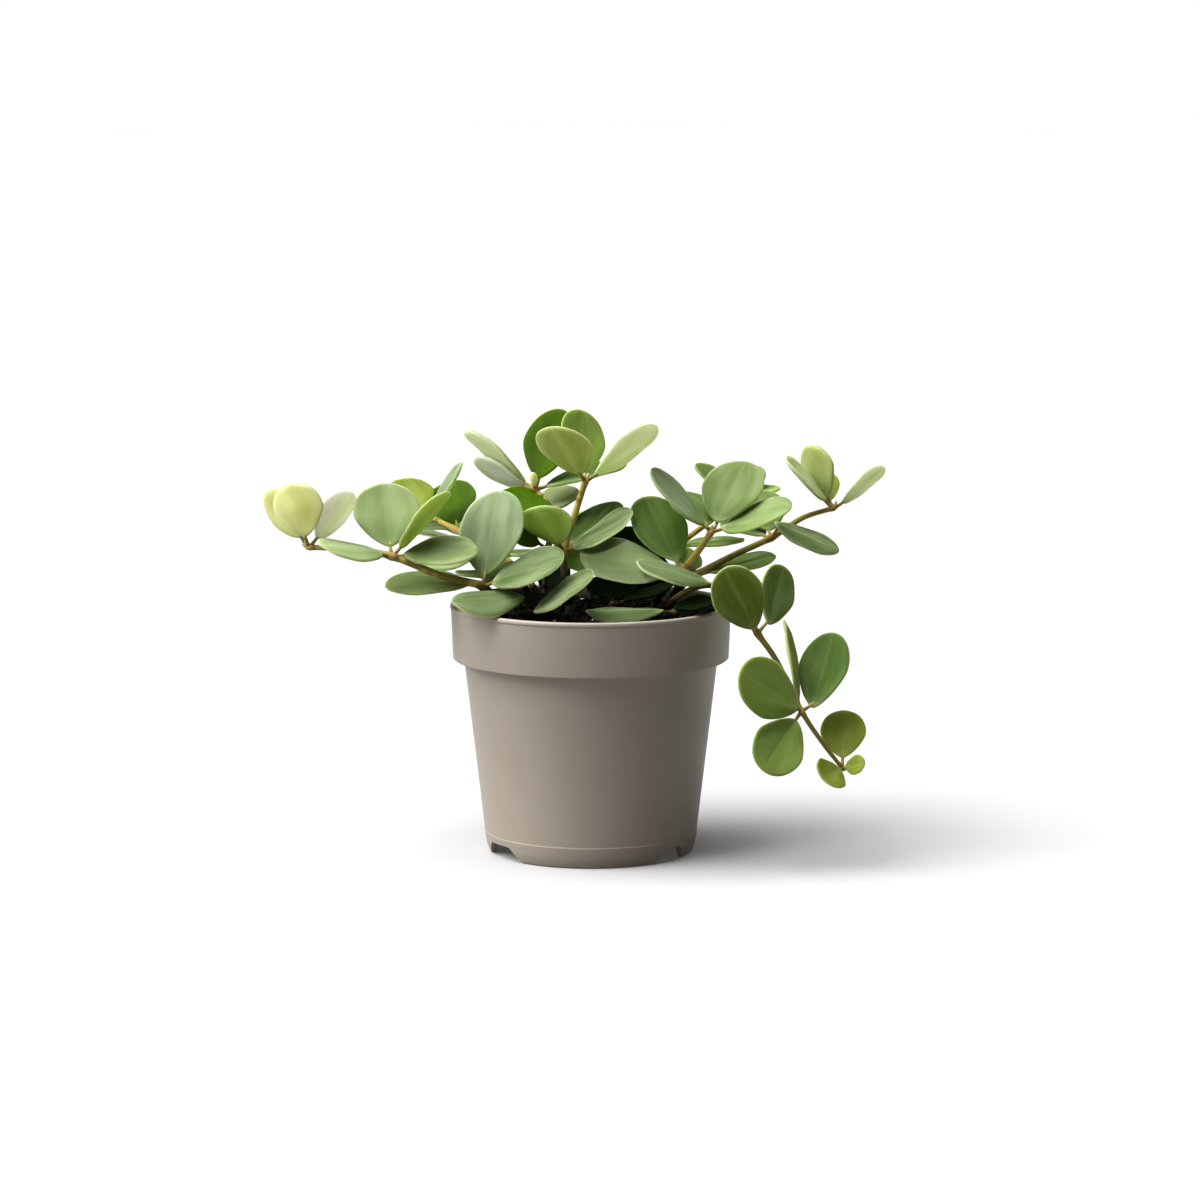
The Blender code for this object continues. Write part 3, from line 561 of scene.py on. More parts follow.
# %% Shoots
SHOOTS = {
    "shoot_left_long": {
        "stem": ((-32, -15, 88, 1.5), (-34, -16, 95, 1.5), (-40, -20, 102, 1.5), (-55, -21, 106, 1.4),
                 (-73, -20, 113, 1.4), (-88, -23, 116, 1.2), (-103, -25, 117, 1.0)),
        "leaves": (
            (2, 68, 58, -10, 34, 28, 0.10, 10, "silver"),
            (2, 338, 20, 30, 31, 23, 0.10, 0, "sage"),
            (2, 163, 4, -18, 34, 21, -0.05, -10, "apple"),
            (2, 60, 15, 0, 20, 16, 0.05, 0, "moss"),
            (4, 102, 50, -5, 27, 25, 0.12, 10, "dew"),
            (4, 10, 47, -25, 28, 20, 0.15, 0, "moss"),
            (4, 215, 16, -15, 27, 21, -0.10, -10, "dew"),
            (4, 5, 4, 24, 28, 21, 0.10, 0, "dew"),
            (6, 215, 70, 36, 21, 20, 0.15, 15, "spring"),
            (6, 165, 50, 60, 22, 19, 0.15, 0, "spring", (-2.5, 4, 3)),
            (6, 15, 50, -55, 22, 16, 0.15, 0, "cream"),
        ),
    },
    "shoot_left_back": {
        "stem": ((-22, 15, 88, 1.3), (-26, 16, 98, 1.3), (-38, 18, 110, 1.2), (-50, 22, 117, 1.2),
                 (-62, 28, 122, 1.0)),
        "leaves": (
            (2, 200, -5, -15, 26, 20, -0.05, -5, "dew"),
            (3, 100, 32, -15, 26, 19, 0.10, 0, "lime", (-0.6, 4.8, 1.9)),
            (3, 140, 5, 0, 26, 20, -0.05, -8, "sage"),
            (3, 20, 10, 0, 20, 15, 0.05, 0, "moss"),
            (4, 117, 24, -4, 21, 18, 0.15, 10, "spring"),
            (4, 350, 52, 24, 21, 11, 0.20, 10, "silver"),
            (4, 195, 20, 0, 18, 14, 0.10, 0, "apple"),
        ),
    },
    "shoot_centre_left": {
        "stem": ((-17, 9, 88, 1.3), (-17, 9, 100, 1.3), (-16, 8, 112, 1.2), (-14, 8, 125, 1.2),
                 (-21, 12, 134, 1.1)),
        "leaves": (
            (2, 205, 34, -35, 19, 17, -0.05, -5, "lime", (-3, -0.4, 2.1)),
            (3, 160, 14, -25, 22, 18, 0.05, 0, "lime", (-1, -5.9, 1.9)),
            (3, 78, 24, 0, 17, 15, 0.05, 0, "mist"),
            (4, 54, 57, 0, 29, 23, 0.12, 10, "lime"),
            (4, 165, 35, 30, 31, 20, 0.15, 5, "sage", (-3.2, 3.8, 1.9)),
            (4, 147, 14, 40, 25, 19, 0.10, 5, "cream"),
            (4, 15, 14, 4, 33, 21, 0.10, 0, "moss"),
            (4, 250, 70, 0, 6, 3, 0.20, 0, "spring", (0, -1, 1)),
        ),
    },
    "shoot_centre_top": {
        "stem": ((-8, -3, 88, 1.5), (-9, -2, 98, 1.5), (-10, 2, 112, 1.4), (-6, -2, 126, 1.3),
                 (-2, -5, 139, 1.2)),
        "leaves": (
            (2, 235, 45, 18, 22, 20, 0.15, 0, "fern"),
            (2, 330, 27, 28, 29, 22, 0.08, 0, "sage"),
            (2, 45, 30, 0, 28, 21, 0.05, 0, "dark"),
            (4, 235, 43, 10, 27, 22, 0.15, 5, "apple"),
            (4, 98, 50, 28, 27, 20, 0.12, 8, "fern"),
            (4, 12, 33, -40, 30, 20, 0.12, 5, "mist"),
        ),
    },
    "shoot_right_centre": {
        "stem": ((24, 15, 88, 1.5), (27, 14, 95, 1.5), (34, 12, 103, 1.5), (40, 8, 111, 1.4),
                 (45, 5, 119, 1.2)),
        "leaves": (
            (2, 130, 49, -8, 30, 24, 0.10, 5, "dark"),
            (2, 195, 11, -34, 36, 26, 0.08, -5, "dew"),
            (2, 80, 15, 30, 18, 13, 0.0, 0, "fern"),
            (4, 197, 42, -28, 30, 21, 0.10, 5, "silver"),
            (4, 50, 46, 8, 28, 26, 0.12, 10, "apple", (1.8, 0.1, 3.2)),
            (4, 336, 17, 24, 30, 22, 0.10, 5, "apple"),
            (4, 115, 25, 0, 24, 19, 0.10, 0, "dark"),
        ),
    },
    "shoot_right_long": {
        "stem": ((30, 24, 88, 1.4), (33, 22, 95, 1.4), (40, 18, 101, 1.4), (54, 21, 108, 1.3),
                 (68, 25, 114, 1.3), (80, 29, 121, 1.1), (92, 35, 124, 1.0)),
        "leaves": (
            (1, 175, 16, -62, 20, 18, 0.0, 0, "shade", (-1, -1, 3.3)),
            (2, 10, 12, 8, 27, 20, 0.05, 0, "moss"),
            (2, 120, 0, 0, 18, 14, 0.0, 0, "moss"),
            (4, 335, -18, 10, 28, 17, -0.05, -8, "sage", (1, -1, 6)),
            (4, 100, 31, -4, 24, 18, 0.10, 5, "moss"),
            (4, 130, 8, 0, 22, 17, 0.05, 0, "sage"),
            (6, 194, 42, -20, 24, 17, 0.15, 8, "mist", (-2.9, -2.7, 3)),
            (6, 160, 61, 52, 22, 21, 0.18, 8, "apple"),
            (6, 21, 31, -40, 22, 16, 0.15, 5, "mist"),
            (6, 110, 40, 0, 16, 13, 0.15, 5, "spring", (-1, 8.8, 1.7)),
        ),
    },
    "shoot_trailing": {
        "stem": ((26, -8, 88, 1.2), (31, -11, 96, 1.2), (39, -16, 101, 1.2), (46, -21, 102, 1.2),
                 (53, -25, 98, 1.2), (61, -31, 86, 1.2), (68, -33, 76, 1.1), (77, -35, 58, 1.0),
                 (85, -36, 46, 0.9), (92, -36, 37, 0.75)),
        "leaves": (
            (3, 189, 19, -14, 29, 19, -0.08, -5, "sage", (-2, 0, 1)),
            (5, 217, 58, -118, 29, 19.5, 0.08, 5, "dark", (-1, -3, 2)),
            (5, 70, 53, 60, 25, 17, 0.08, 5, "moss", (4, 1, 3)),
            (7, 205, 31, -70, 30, 23, 0.08, 5, "fern", (-1, -2, 1.1)),
            (7, 118, 65, 52, 31, 17, 0.12, 5, "spring", (-0.8, 3.5, 3.3)),
            (7, 55, 58, 0, 30, 21, 0.08, 8, "dark", (4, 0, 1)),
            (7, 230, -40, -52, 26, 20, 0.08, 0, "fern"),
            (9, 85, 55, 0, 19, 17, 0.12, 8, "spring"),
            (9, 235, -10, -45, 12, 14, 0.15, 0, "spring", (-1, -1, 0)),
            (9, 320, 10, 60, 9, 8, 0.15, 0, "spring", (1, -1, 1)),
        ),
    },
    "shoot_front_right": {
        "stem": ((27, -24, 88, 1.2), (31, -30, 94, 1.2)),
        "leaves": (
            (1, 180, 2, -8, 29, 17, -0.28, -5, "sage"),
            (1, 10, 10, 10, 16, 14, 0.05, 0, "shade", (-1, 0, 1)),
        ),
    },
    "shoot_front_left": {
        "stem": ((-20, -23, 88, 1.2), (-22, -28, 93, 1.2)),
        "leaves": (
            (1, 200, 2, -18, 28, 21, -0.25, -8, "sage", (-2, 1, 6)),
            (1, 335, 32, 27, 29, 19, 0.08, 0, "sage", (1, -3, 1)),
            (1, 85, 10, 0, 20, 15, 0.0, 0, "shade"),
        ),
    },
    "shoot_front_centre": {
        "stem": ((6, -10, 88, 1.2), (8, -12, 94, 1.2)),
        "leaves": (
            (1, 20, 15, 0, 20, 15, 0.0, 0, "shade"),
            (1, 90, 17, 0, 22, 20, 0.0, 0, "shade"),
        ),
    },
    "shoot_back_left": {
        "stem": ((-20, 28, 88, 1.3), (-24, 33, 97, 1.3), (-34, 46, 104, 1.2), (-48, 58, 108, 1.0)),
        "leaves": (
            (1, 185, 8, 0, 24, 19, 0.0, -5, "moss"),
            (1, 335, 8, 60, 14, 18, 0.0, 0, "shade", (3.6, 4.3, -0.3)),
            (2, 50, 0, 0, 24, 19, 0.0, -5, "sage"),
            (2, 230, 15, 0, 20, 15, 0.0, 0, "moss"),
            (3, 130, 35, 0, 22, 18, 0.12, 5, "apple"),
            (3, 190, 15, 0, 25, 19, 0.05, -5, "sage"),
            (3, 60, 15, 0, 25, 19, 0.05, -5, "dew"),
        ),
    },
    "shoot_back_right": {
        "stem": ((14, 30, 88, 1.3), (18, 33, 98, 1.3), (32, 42, 108, 1.2), (46, 46, 118, 1.1),
                 (56, 47, 126, 1.0)),
        "leaves": (
            (1, 60, 5, 0, 22, 17, 0.0, -5, "moss"),
            (2, 110, 10, 0, 26, 21, 0.0, -5, "sage"),
            (2, 30, 5, 0, 26, 20, 0.0, -5, "moss"),
            (2, 200, 2, -60, 24, 18, 0.0, 0, "shade"),
            (4, 150, 34, 0, 18, 16, 0.12, 5, "moss"),
            (4, 80, 22, 0, 22, 18, 0.12, 5, "apple"),
            (4, 50, 8, 0, 18, 16, 0.05, 0, "fern"),
        ),
    },
    "shoot_back_centre": {
        "stem": ((0, 30, 88, 1.3), (-1, 36, 96, 1.3), (-2, 48, 102, 1.2), (0, 64, 104, 1.0)),
        "leaves": (
            (1, 265, 50, 0, 22, 27, 0.0, 0, "dark"),
            (2, 350, 15, 0, 20, 16, 0.0, 0, "moss"),
            (3, 95, 10, 0, 26, 20, 0.05, -10, "sage"),
            (3, 150, 15, 0, 22, 17, 0.05, -5, "dew", (-3.3, 0.4, 1.3)),
            (3, 20, 15, 0, 24, 19, 0.05, -5, "sage"),
            (3, 265, 45, 0, 20, 15, 0.10, 5, "fern"),
        ),
    },
}
print("shoots:", len(SHOOTS), "leaves:", sum(len(s["leaves"]) for s in SHOOTS.values()))

# %% [markdown]
# ## The blade's form
# A blade is a round-ended oval, a little wider towards its tip, with a soft channel along the midrib.
# A square grid is squeezed into the oval: that keeps the faces even and needs no point at the ends.
# The grid is then given its thickness, and the edge is rounded by subdivision.

# %% Blade form
BLADE = 1.2               # thickness at the edge
TIP_POWER = 1.9           # 2 would be an ellipse, less is more pointed
BASE_POWER = 1.45
TIP_WIDER = 0.10
STALK_LENGTH = 4.0


def leaf_turn(bearing, lift, twist):
    """Rotation that lays x along the midrib and z out of the blade's upper face."""
    return Matrix.Rotation(math.radians(bearing), 3, "Z") @ Matrix.Rotation(
        math.radians(-lift), 3, "Y") @ Matrix.Rotation(math.radians(twist), 3, "X")


def blade_point(along, across, length, width, cup, curl):
    """A point of the blade's middle surface; along and across run from -1 to 1 over a square."""
    p, q = disc(along, across)
    edge = max(1.0 - p * p, 0.0)
    if edge > 1e-6:
        power = TIP_POWER if p > 0.0 else BASE_POWER
        share = (1.0 - abs(p) ** power) ** (1.0 / power) / math.sqrt(edge)
        q *= share * (1.0 + TIP_WIDER * p)
    y = 0.5 * width * q
    rise = 0.5 * width * cup * q * q
    way = 0.5 * length * (1.0 + p)
    bend = math.radians(curl)
    if abs(bend) > 1e-3:
        turn = bend * way / length
        x = length * math.sin(turn) / bend
        z = length * (1.0 - math.cos(turn)) / bend
    else:
        turn, x, z = 0.0, way, 0.0
    return Vector((x - rise * math.sin(turn), y, z + rise * math.cos(turn)))


def blade_base(root, leaf):
    """Where a leaf's blade starts, and how it is turned."""
    turn = leaf_turn(*leaf[1:4])
    stalk = Vector(leaf[9]) if len(leaf) > 9 else turn @ Vector((STALK_LENGTH, 0.0, 0.0))
    return root + stalk, turn


# %% [markdown]
# ## Making a blade
# Three numbers are kept on every point for the leaf's pattern: how far along, how far across and how
# near the edge it is. A colour is kept too: the finish's upper or lower colour, paler at the base.

# %% Make a blade
BLADE_ROWS = 12
BLADE_COLUMNS = 12
CHANNEL = 0.35            # depth along the midrib
CHANNEL_WIDTH = 0.16      # as a share of the half width
BELLY = 0.35              # how far the underside bulges
WAVE = 0.025              # unevenness, as a share of the length
PALE_BASE = linear("#C9CF94")
PALE_REACH = 0.14         # as a share of the length


def add_blade(bm, root, leaf, shade):
    """Add one blade to a bmesh, in millimetres."""
    length, width, cup, curl, finish = leaf[4:9]
    place = bm.verts.layers.float_vector["blade"]
    tone = bm.verts.layers.float_color["tone"]
    base, turn = blade_base(root, leaf)
    net = bmesh.ops.create_grid(bm, x_segments=BLADE_ROWS, y_segments=BLADE_COLUMNS, size=1.0)["verts"]
    before = set(bm.verts) - set(net)
    wobble = Vector((7.0 * leaf[0], 0.1 * leaf[1], 3.0 * length))
    for v in net:
        along, across = v.co.x, v.co.y
        p, q = disc(along, across)
        side = q / math.sqrt(max(1.0 - p * p, 0.05))
        v[place] = (0.5 + 0.5 * p, side, min(1.0, math.hypot(p, q)))
        v.co = blade_point(along, across, length, width, cup, curl)
        v.co.z += 0.5 * BLADE + WAVE * length * noise.noise(Vector((1.3 * p, 1.3 * q, 0.0)) + wobble)
    faces = {f for v in net for f in v.link_faces}
    bmesh.ops.solidify(bm, geom=list(faces), thickness=BLADE)
    top = set(net)
    upper, under = (linear(c) for c in FINISHES[finish][:2])
    bloom = FINISHES[finish][2]
    for v in set(bm.verts) - before:
        along, side, edge = v[place]
        inside = 1.0 - edge * edge
        if v in top:
            v.co.z -= CHANNEL * inside * math.exp(-(side / CHANNEL_WIDTH) ** 2)
            colour = upper
        else:
            v.co.z -= BELLY * inside
            colour = under
        pale = 0.8 * math.sqrt(bloom) * max(0.0, 1.0 - along / PALE_REACH) ** 1.5
        v[tone] = [shade * c for c in mixed(colour, PALE_BASE, pale)[:3]] + [bloom]
    fresh = list(set(bm.verts) - before)
    bmesh.ops.transform(bm, matrix=Matrix.Translation(base) @ turn.to_4x4(), verts=fresh)


# %% [markdown]
# ## The leaf's skin
# Peperomia leaves are succulent: a thick blade under a waxy cuticle, and light goes a few millimetres
# in. Bloom on the wax scatters what would be shine, so the index and the specular level are lower than
# bare wax has. The pattern follows the numbers kept on the blade, and its place on the plant makes
# every leaf different. Real cells are about 0.1 mm, too fine to show, and are drawn at 0.9 mm.

# %% Waxy leaf
leaf_skin, tree, shader = new_material(
    "waxy peperomia leaf", Roughness=0.5, IOR=1.22, Specular_IOR_Level=0.1,
    Subsurface_Weight=0.8, Subsurface_Radius=(1.0, 1.0, 0.7), Subsurface_Scale=6.0 * MM)
BAND_MM = 25.0            # on the plant, before the blade's own numbers narrow the bands
CELLS_MM = 0.9
tone = add_node(tree, "ShaderNodeAttribute", attribute_name="tone")
place = add_node(tree, "ShaderNodeAttribute", attribute_name="blade")
spot = add_node(tree, "ShaderNodeTexCoord")
parts = add_node(tree, "ShaderNodeSeparateXYZ", links={"Vector": place.outputs["Vector"]})
waxy = add_node(tree, "ShaderNodeMath", {1: 2.5}, {0: tone.outputs["Alpha"]}, operation="MULTIPLY",
                use_clamp=True)
drawn_out = add_node(tree, "ShaderNodeVectorMath", {1: (0.9, 1.5, 0.0)}, {0: place.outputs["Vector"]},
                     operation="MULTIPLY")
own_place = add_node(tree, "ShaderNodeVectorMath", {1: 3 * (1000.0 / BAND_MM,)},
                     {0: spot.outputs["Object"], 2: drawn_out.outputs[0]}, operation="MULTIPLY_ADD")
bands = add_node(tree, "ShaderNodeTexNoise", {"Scale": 1.0, "Detail": 2.0, "Roughness": 0.45},
                 {"Vector": own_place.outputs[0]})
cells = add_node(tree, "ShaderNodeTexNoise", {"Scale": 1000.0 / CELLS_MM, "Detail": 2.0},
                 {"Vector": spot.outputs["Object"]})
print("leaf cells are drawn at", CELLS_MM, "mm")

# %% [markdown]
# ## The leaf's skin: bands and bloom
# Broad darker bands run along the blade. A leaf with bloom is also darker towards its base, a
# painted shade where the leaves crowd round the stalks, and between the dark bands it is greyer, where
# the bloom is thick.

# %% Bands and bloom
DARK_BANDS = 0.32
BASE_SHADE = 0.5
PALE_BANDS = 0.22
dark_bands = add_node(tree, "ShaderNodeMapRange",
                      {"From Min": 0.58, "From Max": 0.32, "To Max": DARK_BANDS},
                      {"Value": bands.outputs["Fac"]})
banded = add_node(tree, "ShaderNodeMix", {7: linear("#98B062")},
                  {0: dark_bands.outputs[0], 6: tone.outputs["Color"]}, data_type="RGBA",
                  blend_type="MULTIPLY")
# painted shade: the blade darkens towards its stalk
near_base = add_node(tree, "ShaderNodeMapRange",
                     {"From Min": 0.05, "From Max": 0.5, "To Min": BASE_SHADE, "To Max": 0.0},
                     {"Value": parts.outputs["X"]}, interpolation_type="SMOOTHSTEP")
base_shade_share = add_node(tree, "ShaderNodeMath", links={0: near_base.outputs[0], 1: tone.outputs["Alpha"]},
                      operation="MULTIPLY")
base_shaded = add_node(tree, "ShaderNodeMix", {7: linear("#86A24C")},
                {0: base_shade_share.outputs[0], 6: banded.outputs[2]}, data_type="RGBA", blend_type="MULTIPLY")
pale_bands = add_node(tree, "ShaderNodeMapRange",
                      {"From Min": 0.42, "From Max": 0.7, "To Max": PALE_BANDS},
                      {"Value": bands.outputs["Fac"]})
bloom_share = add_node(tree, "ShaderNodeMath",
                       links={0: pale_bands.outputs[0], 1: tone.outputs["Alpha"]},
                       operation="MULTIPLY")
bloomed = add_node(tree, "ShaderNodeMix", {7: linear("#A9B993")},
                   {0: bloom_share.outputs[0], 6: base_shaded.outputs[2]}, data_type="RGBA")
print("dark bands", DARK_BANDS, "pale bands", PALE_BANDS)

# %% [markdown]
# ## The leaf's skin: veins, cells and edge
# Veins are faint paler lines that run together at both ends, the midrib is a broader one, and cells
# fleck the skin. The edge is a thin greyer line. Veins and edge show only where there is bloom.

# %% Veins, cells and edge
VEIN_SPACING = 0.38       # as a share of the half width
VEIN_SHARE = 0.02
MIDRIB_SHARE = 0.06
CELL_SHARE = 0.1
EDGE_FROM = 0.965         # as a share of the way from the middle to the edge
EDGE_SHARE = 0.4
ripple = add_node(tree, "ShaderNodeMath", {1: VEIN_SPACING / 2.0}, {0: parts.outputs["Y"]},
                  operation="PINGPONG")
veins = add_node(tree, "ShaderNodeMapRange",
                 {"From Min": 0.0, "From Max": 0.09, "To Min": 1.0, "To Max": 0.0},
                 {"Value": ripple.outputs[0]}, interpolation_type="SMOOTHSTEP")
off_middle = add_node(tree, "ShaderNodeMath", links={0: parts.outputs["Y"]}, operation="ABSOLUTE")
midrib = add_node(tree, "ShaderNodeMapRange",
                  {"From Min": 0.0, "From Max": 0.14, "To Min": MIDRIB_SHARE, "To Max": 0.0},
                  {"Value": off_middle.outputs[0]}, interpolation_type="SMOOTHSTEP")
all_veins = add_node(tree, "ShaderNodeMath", {1: VEIN_SHARE},
                     {0: veins.outputs[0], 2: midrib.outputs[0]}, operation="MULTIPLY_ADD")
vein_share = add_node(tree, "ShaderNodeMath", links={0: all_veins.outputs[0], 1: waxy.outputs[0]},
                      operation="MULTIPLY")
veined = add_node(tree, "ShaderNodeMix", {7: linear("#B9CC96")},
                  {0: vein_share.outputs[0], 6: bloomed.outputs[2]}, data_type="RGBA")
cell_share = add_node(tree, "ShaderNodeMapRange",
                      {"From Min": 0.3, "From Max": 0.7, "To Max": CELL_SHARE},
                      {"Value": cells.outputs["Fac"]})
flecked = add_node(tree, "ShaderNodeMix", {7: linear("#7F9A66")},
                   {0: cell_share.outputs[0], 6: veined.outputs[2]}, data_type="RGBA", blend_type="MULTIPLY")
margin = add_node(tree, "ShaderNodeMapRange",
                  {"From Min": EDGE_FROM, "From Max": 1.0, "To Max": EDGE_SHARE},
                  {"Value": parts.outputs["Z"]}, interpolation_type="SMOOTHSTEP")
edge_share = add_node(tree, "ShaderNodeMath", links={0: margin.outputs[0], 1: waxy.outputs[0]},
                      operation="MULTIPLY")
edged = add_node(tree, "ShaderNodeMix", {7: linear("#7E905F")},
                 {0: edge_share.outputs[0], 6: flecked.outputs[2]}, data_type="RGBA")
tree.links.new(edged.outputs[2], shader.inputs["Base Color"])
print("veins", VEIN_SHARE, "midrib", MIDRIB_SHARE)

# %% [markdown]
# ## The leaf's skin: shine and relief
# The dark bands shine a little more than the pale ones. Veins and cells stand out by about 0.02 mm,
# too little for the mesh, so bump shows them.

# %% Shine and relief
DARK_ROUGHNESS = 0.36
PALE_ROUGHNESS = 0.56
shine = add_node(tree, "ShaderNodeMapRange", {"To Min": DARK_ROUGHNESS, "To Max": PALE_ROUGHNESS},
                 {"Value": bands.outputs["Fac"]})
tree.links.new(shine.outputs[0], shader.inputs["Roughness"])
vein_relief = add_node(tree, "ShaderNodeBump", {"Strength": 0.1, "Distance": 0.15 * MM},
                       {"Height": veins.outputs[0]})
cell_relief = add_node(tree, "ShaderNodeBump", {"Strength": 0.18, "Distance": 0.12 * MM},
                       {"Height": cells.outputs["Fac"], "Normal": vein_relief.outputs[0]})
tree.links.new(cell_relief.outputs[0], shader.inputs["Normal"])
print("leaf skin:", len(tree.nodes), "nodes")

# %% [markdown]
# ## Stems and stalks
# A stem is a fleshy tube that swells at each joint. Pushing a ring of points along a path, by
# extruding its end face from place to place, gives full control of its thickness and colour.

# %% Tube along a path
def push_tube(bm, spots, radii, colours, sides):
    """Push a round end face along a path; each stop has its radius and colour."""
    tone = bm.verts.layers.float_color["tone"]
    heading = (spots[1] - spots[0]).normalized()
    aim = heading.to_track_quat("Z", "Y").to_matrix().to_4x4()
    ring = bmesh.ops.create_circle(bm, cap_ends=True, radius=radii[0], segments=sides,
                                   matrix=Matrix.Translation(spots[0]) @ aim)["verts"]
    end = next(iter(set.intersection(*(set(v.link_faces) for v in ring))))
    for v in ring:
        v[tone] = colours[0]
    for k in range(1, len(spots)):
        ahead = spots[min(k + 1, len(spots) - 1)] - spots[k - 1]
        swing = heading.rotation_difference(ahead.normalized()).to_matrix().to_4x4()
        heading = ahead.normalized()
        grow = Matrix.Scale(radii[k] / radii[k - 1], 4)
        move = Matrix.Translation(spots[k]) @ swing @ grow @ Matrix.Translation(-spots[k - 1])
        out = bmesh.ops.extrude_face_region(bm, geom=[end])["geom"]
        end = next(g for g in out if isinstance(g, bmesh.types.BMFace))
        bmesh.ops.transform(bm, matrix=move, verts=end.verts)
        for v in end.verts:
            v[tone] = colours[k]


def curve_through(given, steps):
    """A smooth path through points: (place, radius, index along the points)."""
    line = [(given[0][0], given[0][1], 0.0)]
    for i in range(len(given) - 1):
        p1, p2 = given[i][0], given[i + 1][0]
        p0 = given[i - 1][0] if i else p1 - Vector((0.0, 0.0, 4.0))
        p3 = given[i + 2][0] if i + 2 < len(given) else p2 + (p2 - p1)
        for k in range(1, steps + 1):
            a = k / steps
            b, c = a * a, a * a * a
            spot = 0.5 * ((2.0 * p1) + (p2 - p0) * a + (2.0 * p0 - 5.0 * p1 + 4.0 * p2 - p3) * b
                          + (3.0 * p1 - 3.0 * p2 + p3 - p0) * c)
            line.append((spot, given[i][1] + (given[i + 1][1] - given[i][1]) * a, i + a))
    return line


# %% [markdown]
# ## Stem colours
# The stems are olive and yellow-brown, redder at the joints, and paler towards the young tip. Low
# down in the middle of the pot they are painted nearly black, as painted shade under the leaves. A root
# end stands in the soil.

# %% Stems of a shoot
# painted shade: the colour that the low stems and stalks fade to, also the root end in the soil
STEM_PAINTED_SHADE = linear("#14140B")
STEM_OLD = linear("#8C7E3A")
STEM_YOUNG = linear("#A39347")
JOINT_RED = linear("#86602F")
STALK_GREEN = linear("#98A050")
STEM_STEPS = 9            # stops from one given point to the next
STEM_SIDES = 12
ROOT_BELOW = 5.0          # the stem goes straight up from here below the soil's top
ROOT_ABOVE = 3.0          # to here above it
STEM_SLIM = 0.94          # thickness away from a joint, as a share of the given one
JOINT_SWELL = 0.30
JOINT_REACH = 1.7         # how far the swelling and the red go along the stem
END_LENGTH = 1.3
END_NARROW = 0.55
# where the painted shade on the low stems and stalks reaches
SHADE_TOP = 26.0          # how far above the lip the dark part ends, in the middle of the pot
SHADE_SLOPE = 0.3         # and how much lower for each millimetre outwards
SHADE_FADE = 14.0         # the height over which it fades
SHADE_REACH = 52.0        # how far from the pot's axis it ends
SHADE_RIM = 10.0          # and the width over which it fades


def shaded(colour, spot):
    """A stem's colour where it is, with painted shade that darkens it low down in the middle of the pot."""
    out = spot.xy.length
    top = LIP_TOP + SHADE_TOP - SHADE_SLOPE * out
    low = min(1.0, max(0.0, (top - spot.z) / SHADE_FADE), max(0.0, (SHADE_REACH - out) / SHADE_RIM))
    return mixed(colour, STEM_PAINTED_SHADE, low)


def add_stem(bm, shoot):
    """Add the jointed stem of a shoot."""
    given = [(Vector(p[:3]), p[3]) for p in shoot["stem"]]
    joints = [given[i][0] for i in sorted({leaf[0] for leaf in shoot["leaves"]})]
    root = given[0][0]
    given[0] = (Vector((root.x, root.y, SOIL_TOP + ROOT_ABOVE)), given[0][1])
    line = curve_through(given, STEM_STEPS)
    spots = [Vector((root.x, root.y, SOIL_TOP - ROOT_BELOW))] + [s for s, _, _ in line]
    radii, colours = [given[0][1] * 1.05], [STEM_PAINTED_SHADE]
    last = len(given) - 1
    for spot, radius, at in line:
        near = max(math.exp(-((spot - joint).length / JOINT_REACH) ** 2) for joint in joints)
        young = (at / last) ** 2 if last > 2 else 0.2
        radii.append(radius * (STEM_SLIM + JOINT_SWELL * near))
        colours.append(shaded(mixed(mixed(STEM_OLD, STEM_YOUNG, young), JOINT_RED, 0.5 * near), spot))
    tip, before = spots[-1], spots[-2]
    spots.append(tip + END_LENGTH * (tip - before).normalized())
    radii.append(END_NARROW * radii[-1])
    colours.append(shaded(mixed(STEM_YOUNG, STALK_GREEN, 0.6), tip))
    push_tube(bm, spots, radii, colours, STEM_SIDES)
    return tip, (tip - before).normalized()


# %% [markdown]
# ## Stalks and buds
# A stalk is red at its joint and ends in the yellow-green of its blade's base, a little way inside the
# blade, so that no gap shows. A stem ends in a folded pair of new leaves, two squashed balls.

# %% Stalks and buds
STALK_RED = linear("#8D7B43")
BUD_YELLOW = linear("#E9E6AE")
STALK_STOPS = 8
STALK_SIDES = 10
STALK_SINK = 2.4          # how far it goes into its blade
BUD_SIZE = (0.4, 0.6, 1.6)    # half thickness, half width, half length


def add_stalk(bm, root, leaf):
    """Add a leaf's stalk: thick at the joint, slim in the middle, and flaring into the blade."""
    base, turn = blade_base(root, leaf)
    end = base + turn @ Vector((STALK_SINK, 0.0, 0.1))
    reach = (end - root).length
    lift = turn @ Vector((0.0, 0.0, -0.10 * reach))
    width = leaf[5]
    spots, radii, colours = [], [], []
    for k in range(STALK_STOPS):
        a = k / (STALK_STOPS - 1)
        spots.append(root.lerp(end, a) + lift * 4.0 * a * (1.0 - a) * 0.5)
        radii.append((0.95 - 0.75 * a + 0.50 * a * a) * (0.72 + 0.011 * width))
        grown = mixed(mixed(JOINT_RED, STALK_RED, min(1.0, 2.0 * a)), STALK_GREEN, max(0.0, 1.6 * a - 0.6))
        colours.append(shaded(grown, spots[-1]))
    radii[-1] *= END_NARROW
    push_tube(bm, spots, radii, colours, STALK_SIDES)


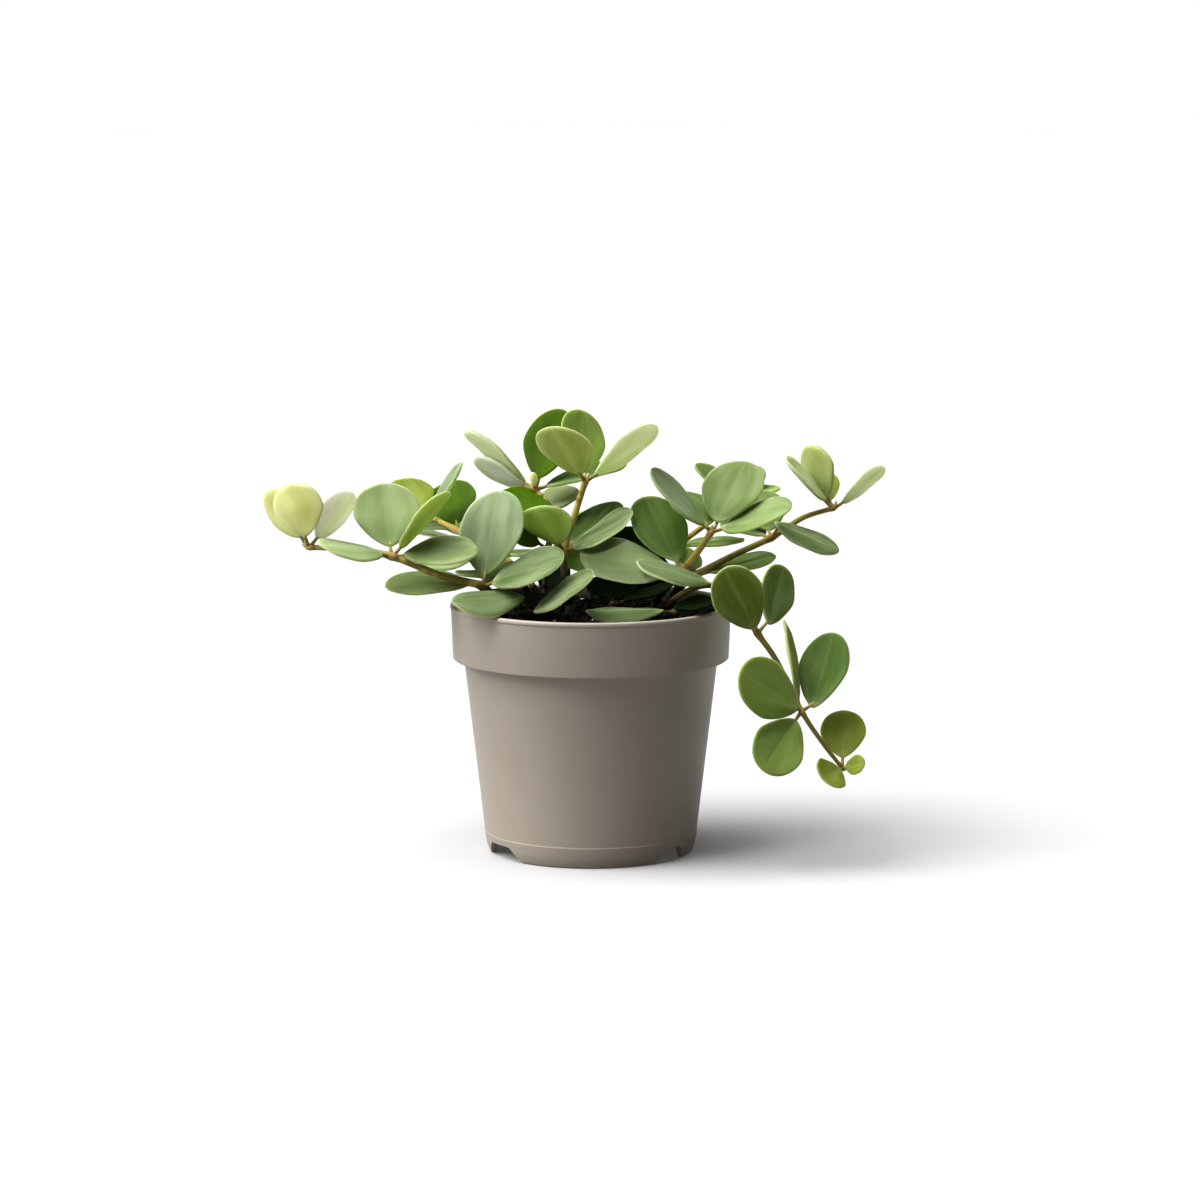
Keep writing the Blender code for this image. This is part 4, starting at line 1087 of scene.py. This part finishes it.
def add_bud(bm, tip, heading):
    """Add the folded pair of new leaves at a stem's end."""
    tone = bm.verts.layers.float_color["tone"]
    aim = (heading + Vector((0.0, 0.0, 0.9))).normalized()
    side = aim.orthogonal().normalized()
    for way in (-1.0, 1.0):
        lean = (aim + 0.22 * way * side).normalized()
        place = Matrix.Translation(tip + 1.5 * lean + 0.3 * way * side) @ lean.to_track_quat(
            "Z", "Y").to_matrix().to_4x4() @ Matrix.Diagonal((*BUD_SIZE, 1.0))
        leaflet = bmesh.ops.create_uvsphere(bm, u_segments=10, v_segments=8, radius=1.0, matrix=place)
        for v in leaflet["verts"]:
            v[tone] = mixed(STALK_GREEN, BUD_YELLOW, 0.7)


# %% [markdown]
# ## The stem's skin
# A fleshy green stem under a thin brown skin: satin, with fine lengthwise streaks. Its specular level
# is low, or the dark stems in the shade would look grey. The colour along it is already on its points;
# noise stretched along Z breaks it up.

# %% Fleshy stem
stem_skin, tree, shader = new_material(
    "fleshy peperomia stem", Roughness=0.42, IOR=1.42, Specular_IOR_Level=0.2,
    Subsurface_Weight=0.12, Subsurface_Radius=(1.0, 0.8, 0.3), Subsurface_Scale=1.0 * MM)
tone = add_node(tree, "ShaderNodeAttribute", attribute_name="tone")
spot = add_node(tree, "ShaderNodeTexCoord")
STREAK_MM = 1.2
drawn_out = add_node(tree, "ShaderNodeMapping", {"Scale": (1.0, 1.0, 0.35)},
                     {"Vector": spot.outputs["Object"]})
streaks = add_node(tree, "ShaderNodeTexNoise", {"Scale": 1000.0 / STREAK_MM, "Detail": 3.0},
                   {"Vector": drawn_out.outputs["Vector"]})
streak_share = add_node(tree, "ShaderNodeMapRange", {"From Min": 0.45, "From Max": 0.7, "To Max": 0.15},
                        {"Value": streaks.outputs["Fac"]})
streaked = add_node(tree, "ShaderNodeMix", {7: linear("#7A4F33")},
                    {0: streak_share.outputs[0], 6: tone.outputs["Color"]}, data_type="RGBA")
tree.links.new(streaked.outputs[2], shader.inputs["Base Color"])
relief = add_node(tree, "ShaderNodeBump", {"Strength": 0.25, "Distance": 0.15 * MM},
                  {"Height": streaks.outputs["Fac"]})
tree.links.new(relief.outputs[0], shader.inputs["Normal"])

# %% [markdown]
# ## Growing the shoots
# Each shoot becomes two pieces: its leaves, which get a subdivision so that their edges are round, and
# its stem with the stalks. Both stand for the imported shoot. A small seeded change of brightness keeps
# neighbouring leaves apart.

# %% Grow the shoots
tints = random.Random(5)
for name, shoot in SHOOTS.items():
    blades = bmesh.new()
    blades.verts.layers.float_vector.new("blade")
    blades.verts.layers.float_color.new("tone")
    stems = bmesh.new()
    stems.verts.layers.float_color.new("tone")
    tip, heading = add_stem(stems, shoot)
    for leaf in shoot["leaves"]:
        root = Vector(shoot["stem"][leaf[0]][:3])
        add_blade(blades, root, leaf, tints.uniform(0.93, 1.07))
        add_stalk(stems, root, leaf)
    if len(shoot["stem"]) > 2:
        add_bud(stems, tip, heading)
    bmesh.ops.recalc_face_normals(blades, faces=blades.faces)
    bmesh.ops.recalc_face_normals(stems, faces=stems.faces)
    leaves = finish_piece(name + "_leaves", blades, leaf_skin, "leaf_and_stem", name)
    finish_piece(name + "_stem", stems, stem_skin, "leaf_and_stem", name)
    rounder = leaves.modifiers.new("round edges", "SUBSURF")
    rounder.levels = rounder.render_levels = 1
